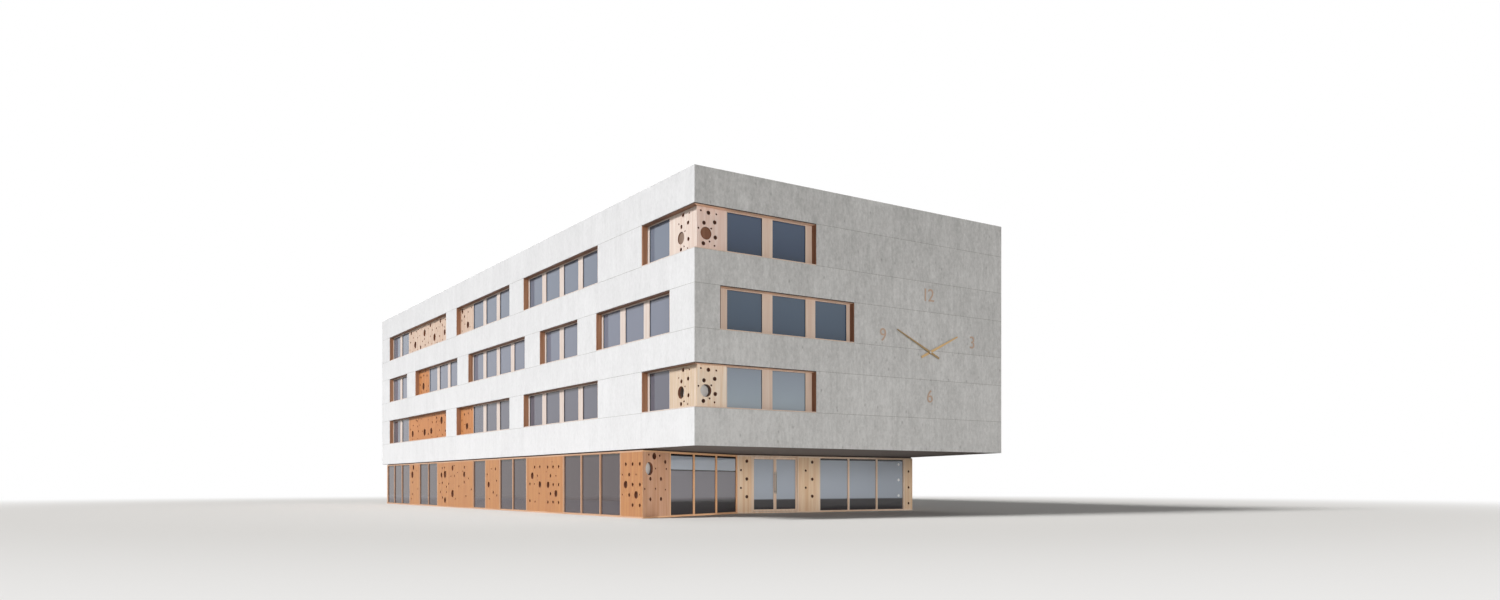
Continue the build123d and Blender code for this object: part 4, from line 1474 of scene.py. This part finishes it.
class SCHOOL_OT_stage(bpy.types.Operator):
    """Pale floor, soft light, white background and the camera"""
    bl_idname = "school.stage"
    bl_label = "Stage"

    def execute(self, context):
        look = settings("stage")
        self.floor(look)
        self.world(look)
        for name, strength, angle, way in (
            ("soft_sun", look.sun, look.sun_angle, SUN_WAY),
            ("low_fill", look.fill, look.fill_angle, FILL_WAY),
        ):
            light = bpy.data.lights.new(name, "SUN")
            light.energy = strength
            light.angle = angle
            stand(name, light, "Z", way)
        self.bounce(look)
        lens = bpy.data.cameras.new("camera")
        lens.sensor_width = 36.0
        lens.lens = look.lens
        lens.shift_y = look.shift
        lens.clip_end = 2000.0
        camera = stand("camera", lens, "-Z", CAMERA_WAY)
        camera.location = CAMERA_PLACE
        context.scene.camera = camera
        context.scene.view_settings.view_transform = "Standard"
        return {"FINISHED"}

    def bounce(self, look):
        """A panel that lights the soffit and the recessed front from below, itself unseen."""
        side = wall_side("front")
        recess = wall_side("ground_recess")
        depth = recess.place(0, 0, 0).y - side.place(0, 0, 0).y - 2 * BOUNCE_INSET
        light = bpy.data.lights.new("bounce", "AREA")
        light.shape = "RECTANGLE"
        light.size = side.end - side.start - 2 * BOUNCE_INSET
        light.size_y = depth
        light.energy = look.bounce
        panel = bpy.data.objects.new("bounce", light)
        panel.location = side.place(
            (side.start + side.end) / 2, 2 * TOUCH, BOUNCE_INSET + depth / 2
        )
        panel.rotation_euler = (math.pi, 0.0, 0.0)
        panel.visible_camera = False
        panel.visible_glossy = False
        panel.visible_transmission = False
        bpy.context.scene.collection.objects.link(panel)

    def floor(self, look):
        """A wide pale floor that fades to the white background away from the building."""
        size = look.floor_size
        data = bpy.data.meshes.new("floor")
        corners = [(-size, -size, 0), (size, -size, 0), (size, size, 0), (-size, size, 0)]
        data.from_pydata(corners, [], [(0, 1, 2, 3)])
        material, tree = new_material("pale_studio_floor")
        matt = add(tree, "ShaderNodeBsdfDiffuse", {"Color": rgba(look.floor)})
        white = add(tree, "ShaderNodeEmission", {"Color": (1, 1, 1, 1), "Strength": 1.0})
        place = add(tree, "ShaderNodeTexCoord").outputs["Object"]
        distance = add(tree, "ShaderNodeVectorMath", {0: place}, operation="LENGTH")
        fade = add(tree, "ShaderNodeMapRange", {
            "Value": distance.outputs["Value"], "From Min": look.floor_fade,
            "From Max": look.floor_white,
        }, interpolation_type="SMOOTHSTEP")
        amount = add(tree, "ShaderNodeMath", {0: fade, 1: seen(tree)}, operation="MULTIPLY")
        mix = add(tree, "ShaderNodeMixShader", {0: amount, 1: matt, 2: white})
        add(tree, "ShaderNodeOutputMaterial", {"Surface": mix})
        data.materials.append(material)
        floor = bpy.data.objects.new("floor", data)
        bpy.context.scene.collection.objects.link(floor)

    def world(self, look):
        """An even soft sky, white where it is seen, mirrored or looked through."""
        world = bpy.data.worlds.new("soft_sky")
        world.use_nodes = True
        tree = world.node_tree
        tree.nodes.clear()
        strength = add(tree, "ShaderNodeMapRange", {
            "Value": seen(tree), "To Min": look.sky, "To Max": 1.0,
        })
        sky = add(tree, "ShaderNodeBackground", {"Color": (1, 1, 1, 1), "Strength": strength})
        add(tree, "ShaderNodeOutputWorld", {"Surface": sky})
        bpy.context.scene.world = world


class SCHOOL_PT_pieces(bpy.types.Panel):
    """Lists the pieces and their sizes and colours"""
    bl_label = "School building"
    bl_idname = "SCHOOL_PT_pieces"
    bl_space_type = "VIEW_3D"
    bl_region_type = "UI"
    bl_category = "School"

    def draw(self, context):
        for operator in OPERATORS:
            self.layout.operator(operator.bl_idname)
        for name, group in GROUPS.items():
            box = self.layout.box()
            box.label(text=name.title())
            for item in group.__annotations__:
                box.prop(settings(name), item)


GROUPS = {
    "concrete": SchoolConcrete,
    "timber": SchoolTimber,
    "glass": SchoolGlass,
    "clock": SchoolClock,
    "stage": SchoolStage,
}
OPERATORS = (
    SCHOOL_OT_cast_walls,
    SCHOOL_OT_window_bands,
    SCHOOL_OT_perforated_boards,
    SCHOOL_OT_ground_glazing,
    SCHOOL_OT_entrance,
    SCHOOL_OT_clock,
    SCHOOL_OT_stage,
)
CLASSES = (*GROUPS.values(), *OPERATORS, SCHOOL_PT_pieces)


def register():
    for item in CLASSES:
        bpy.utils.register_class(item)
    for name, group in GROUPS.items():
        setattr(bpy.types.Scene, f"school_{name}", PointerProperty(type=group))


def unregister():
    for name in GROUPS:
        delattr(bpy.types.Scene, f"school_{name}")
    for item in reversed(CLASSES):
        bpy.utils.unregister_class(item)


def main():
    """Registers the add-on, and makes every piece."""
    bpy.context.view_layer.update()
    register()
    bpy.ops.school.cast_walls()
    bpy.ops.school.window_bands()
    bpy.ops.school.perforated_boards()
    bpy.ops.school.ground_glazing()
    bpy.ops.school.entrance()
    bpy.ops.school.clock()
    bpy.ops.school.stage()


if __name__ == "__main__":
    main()
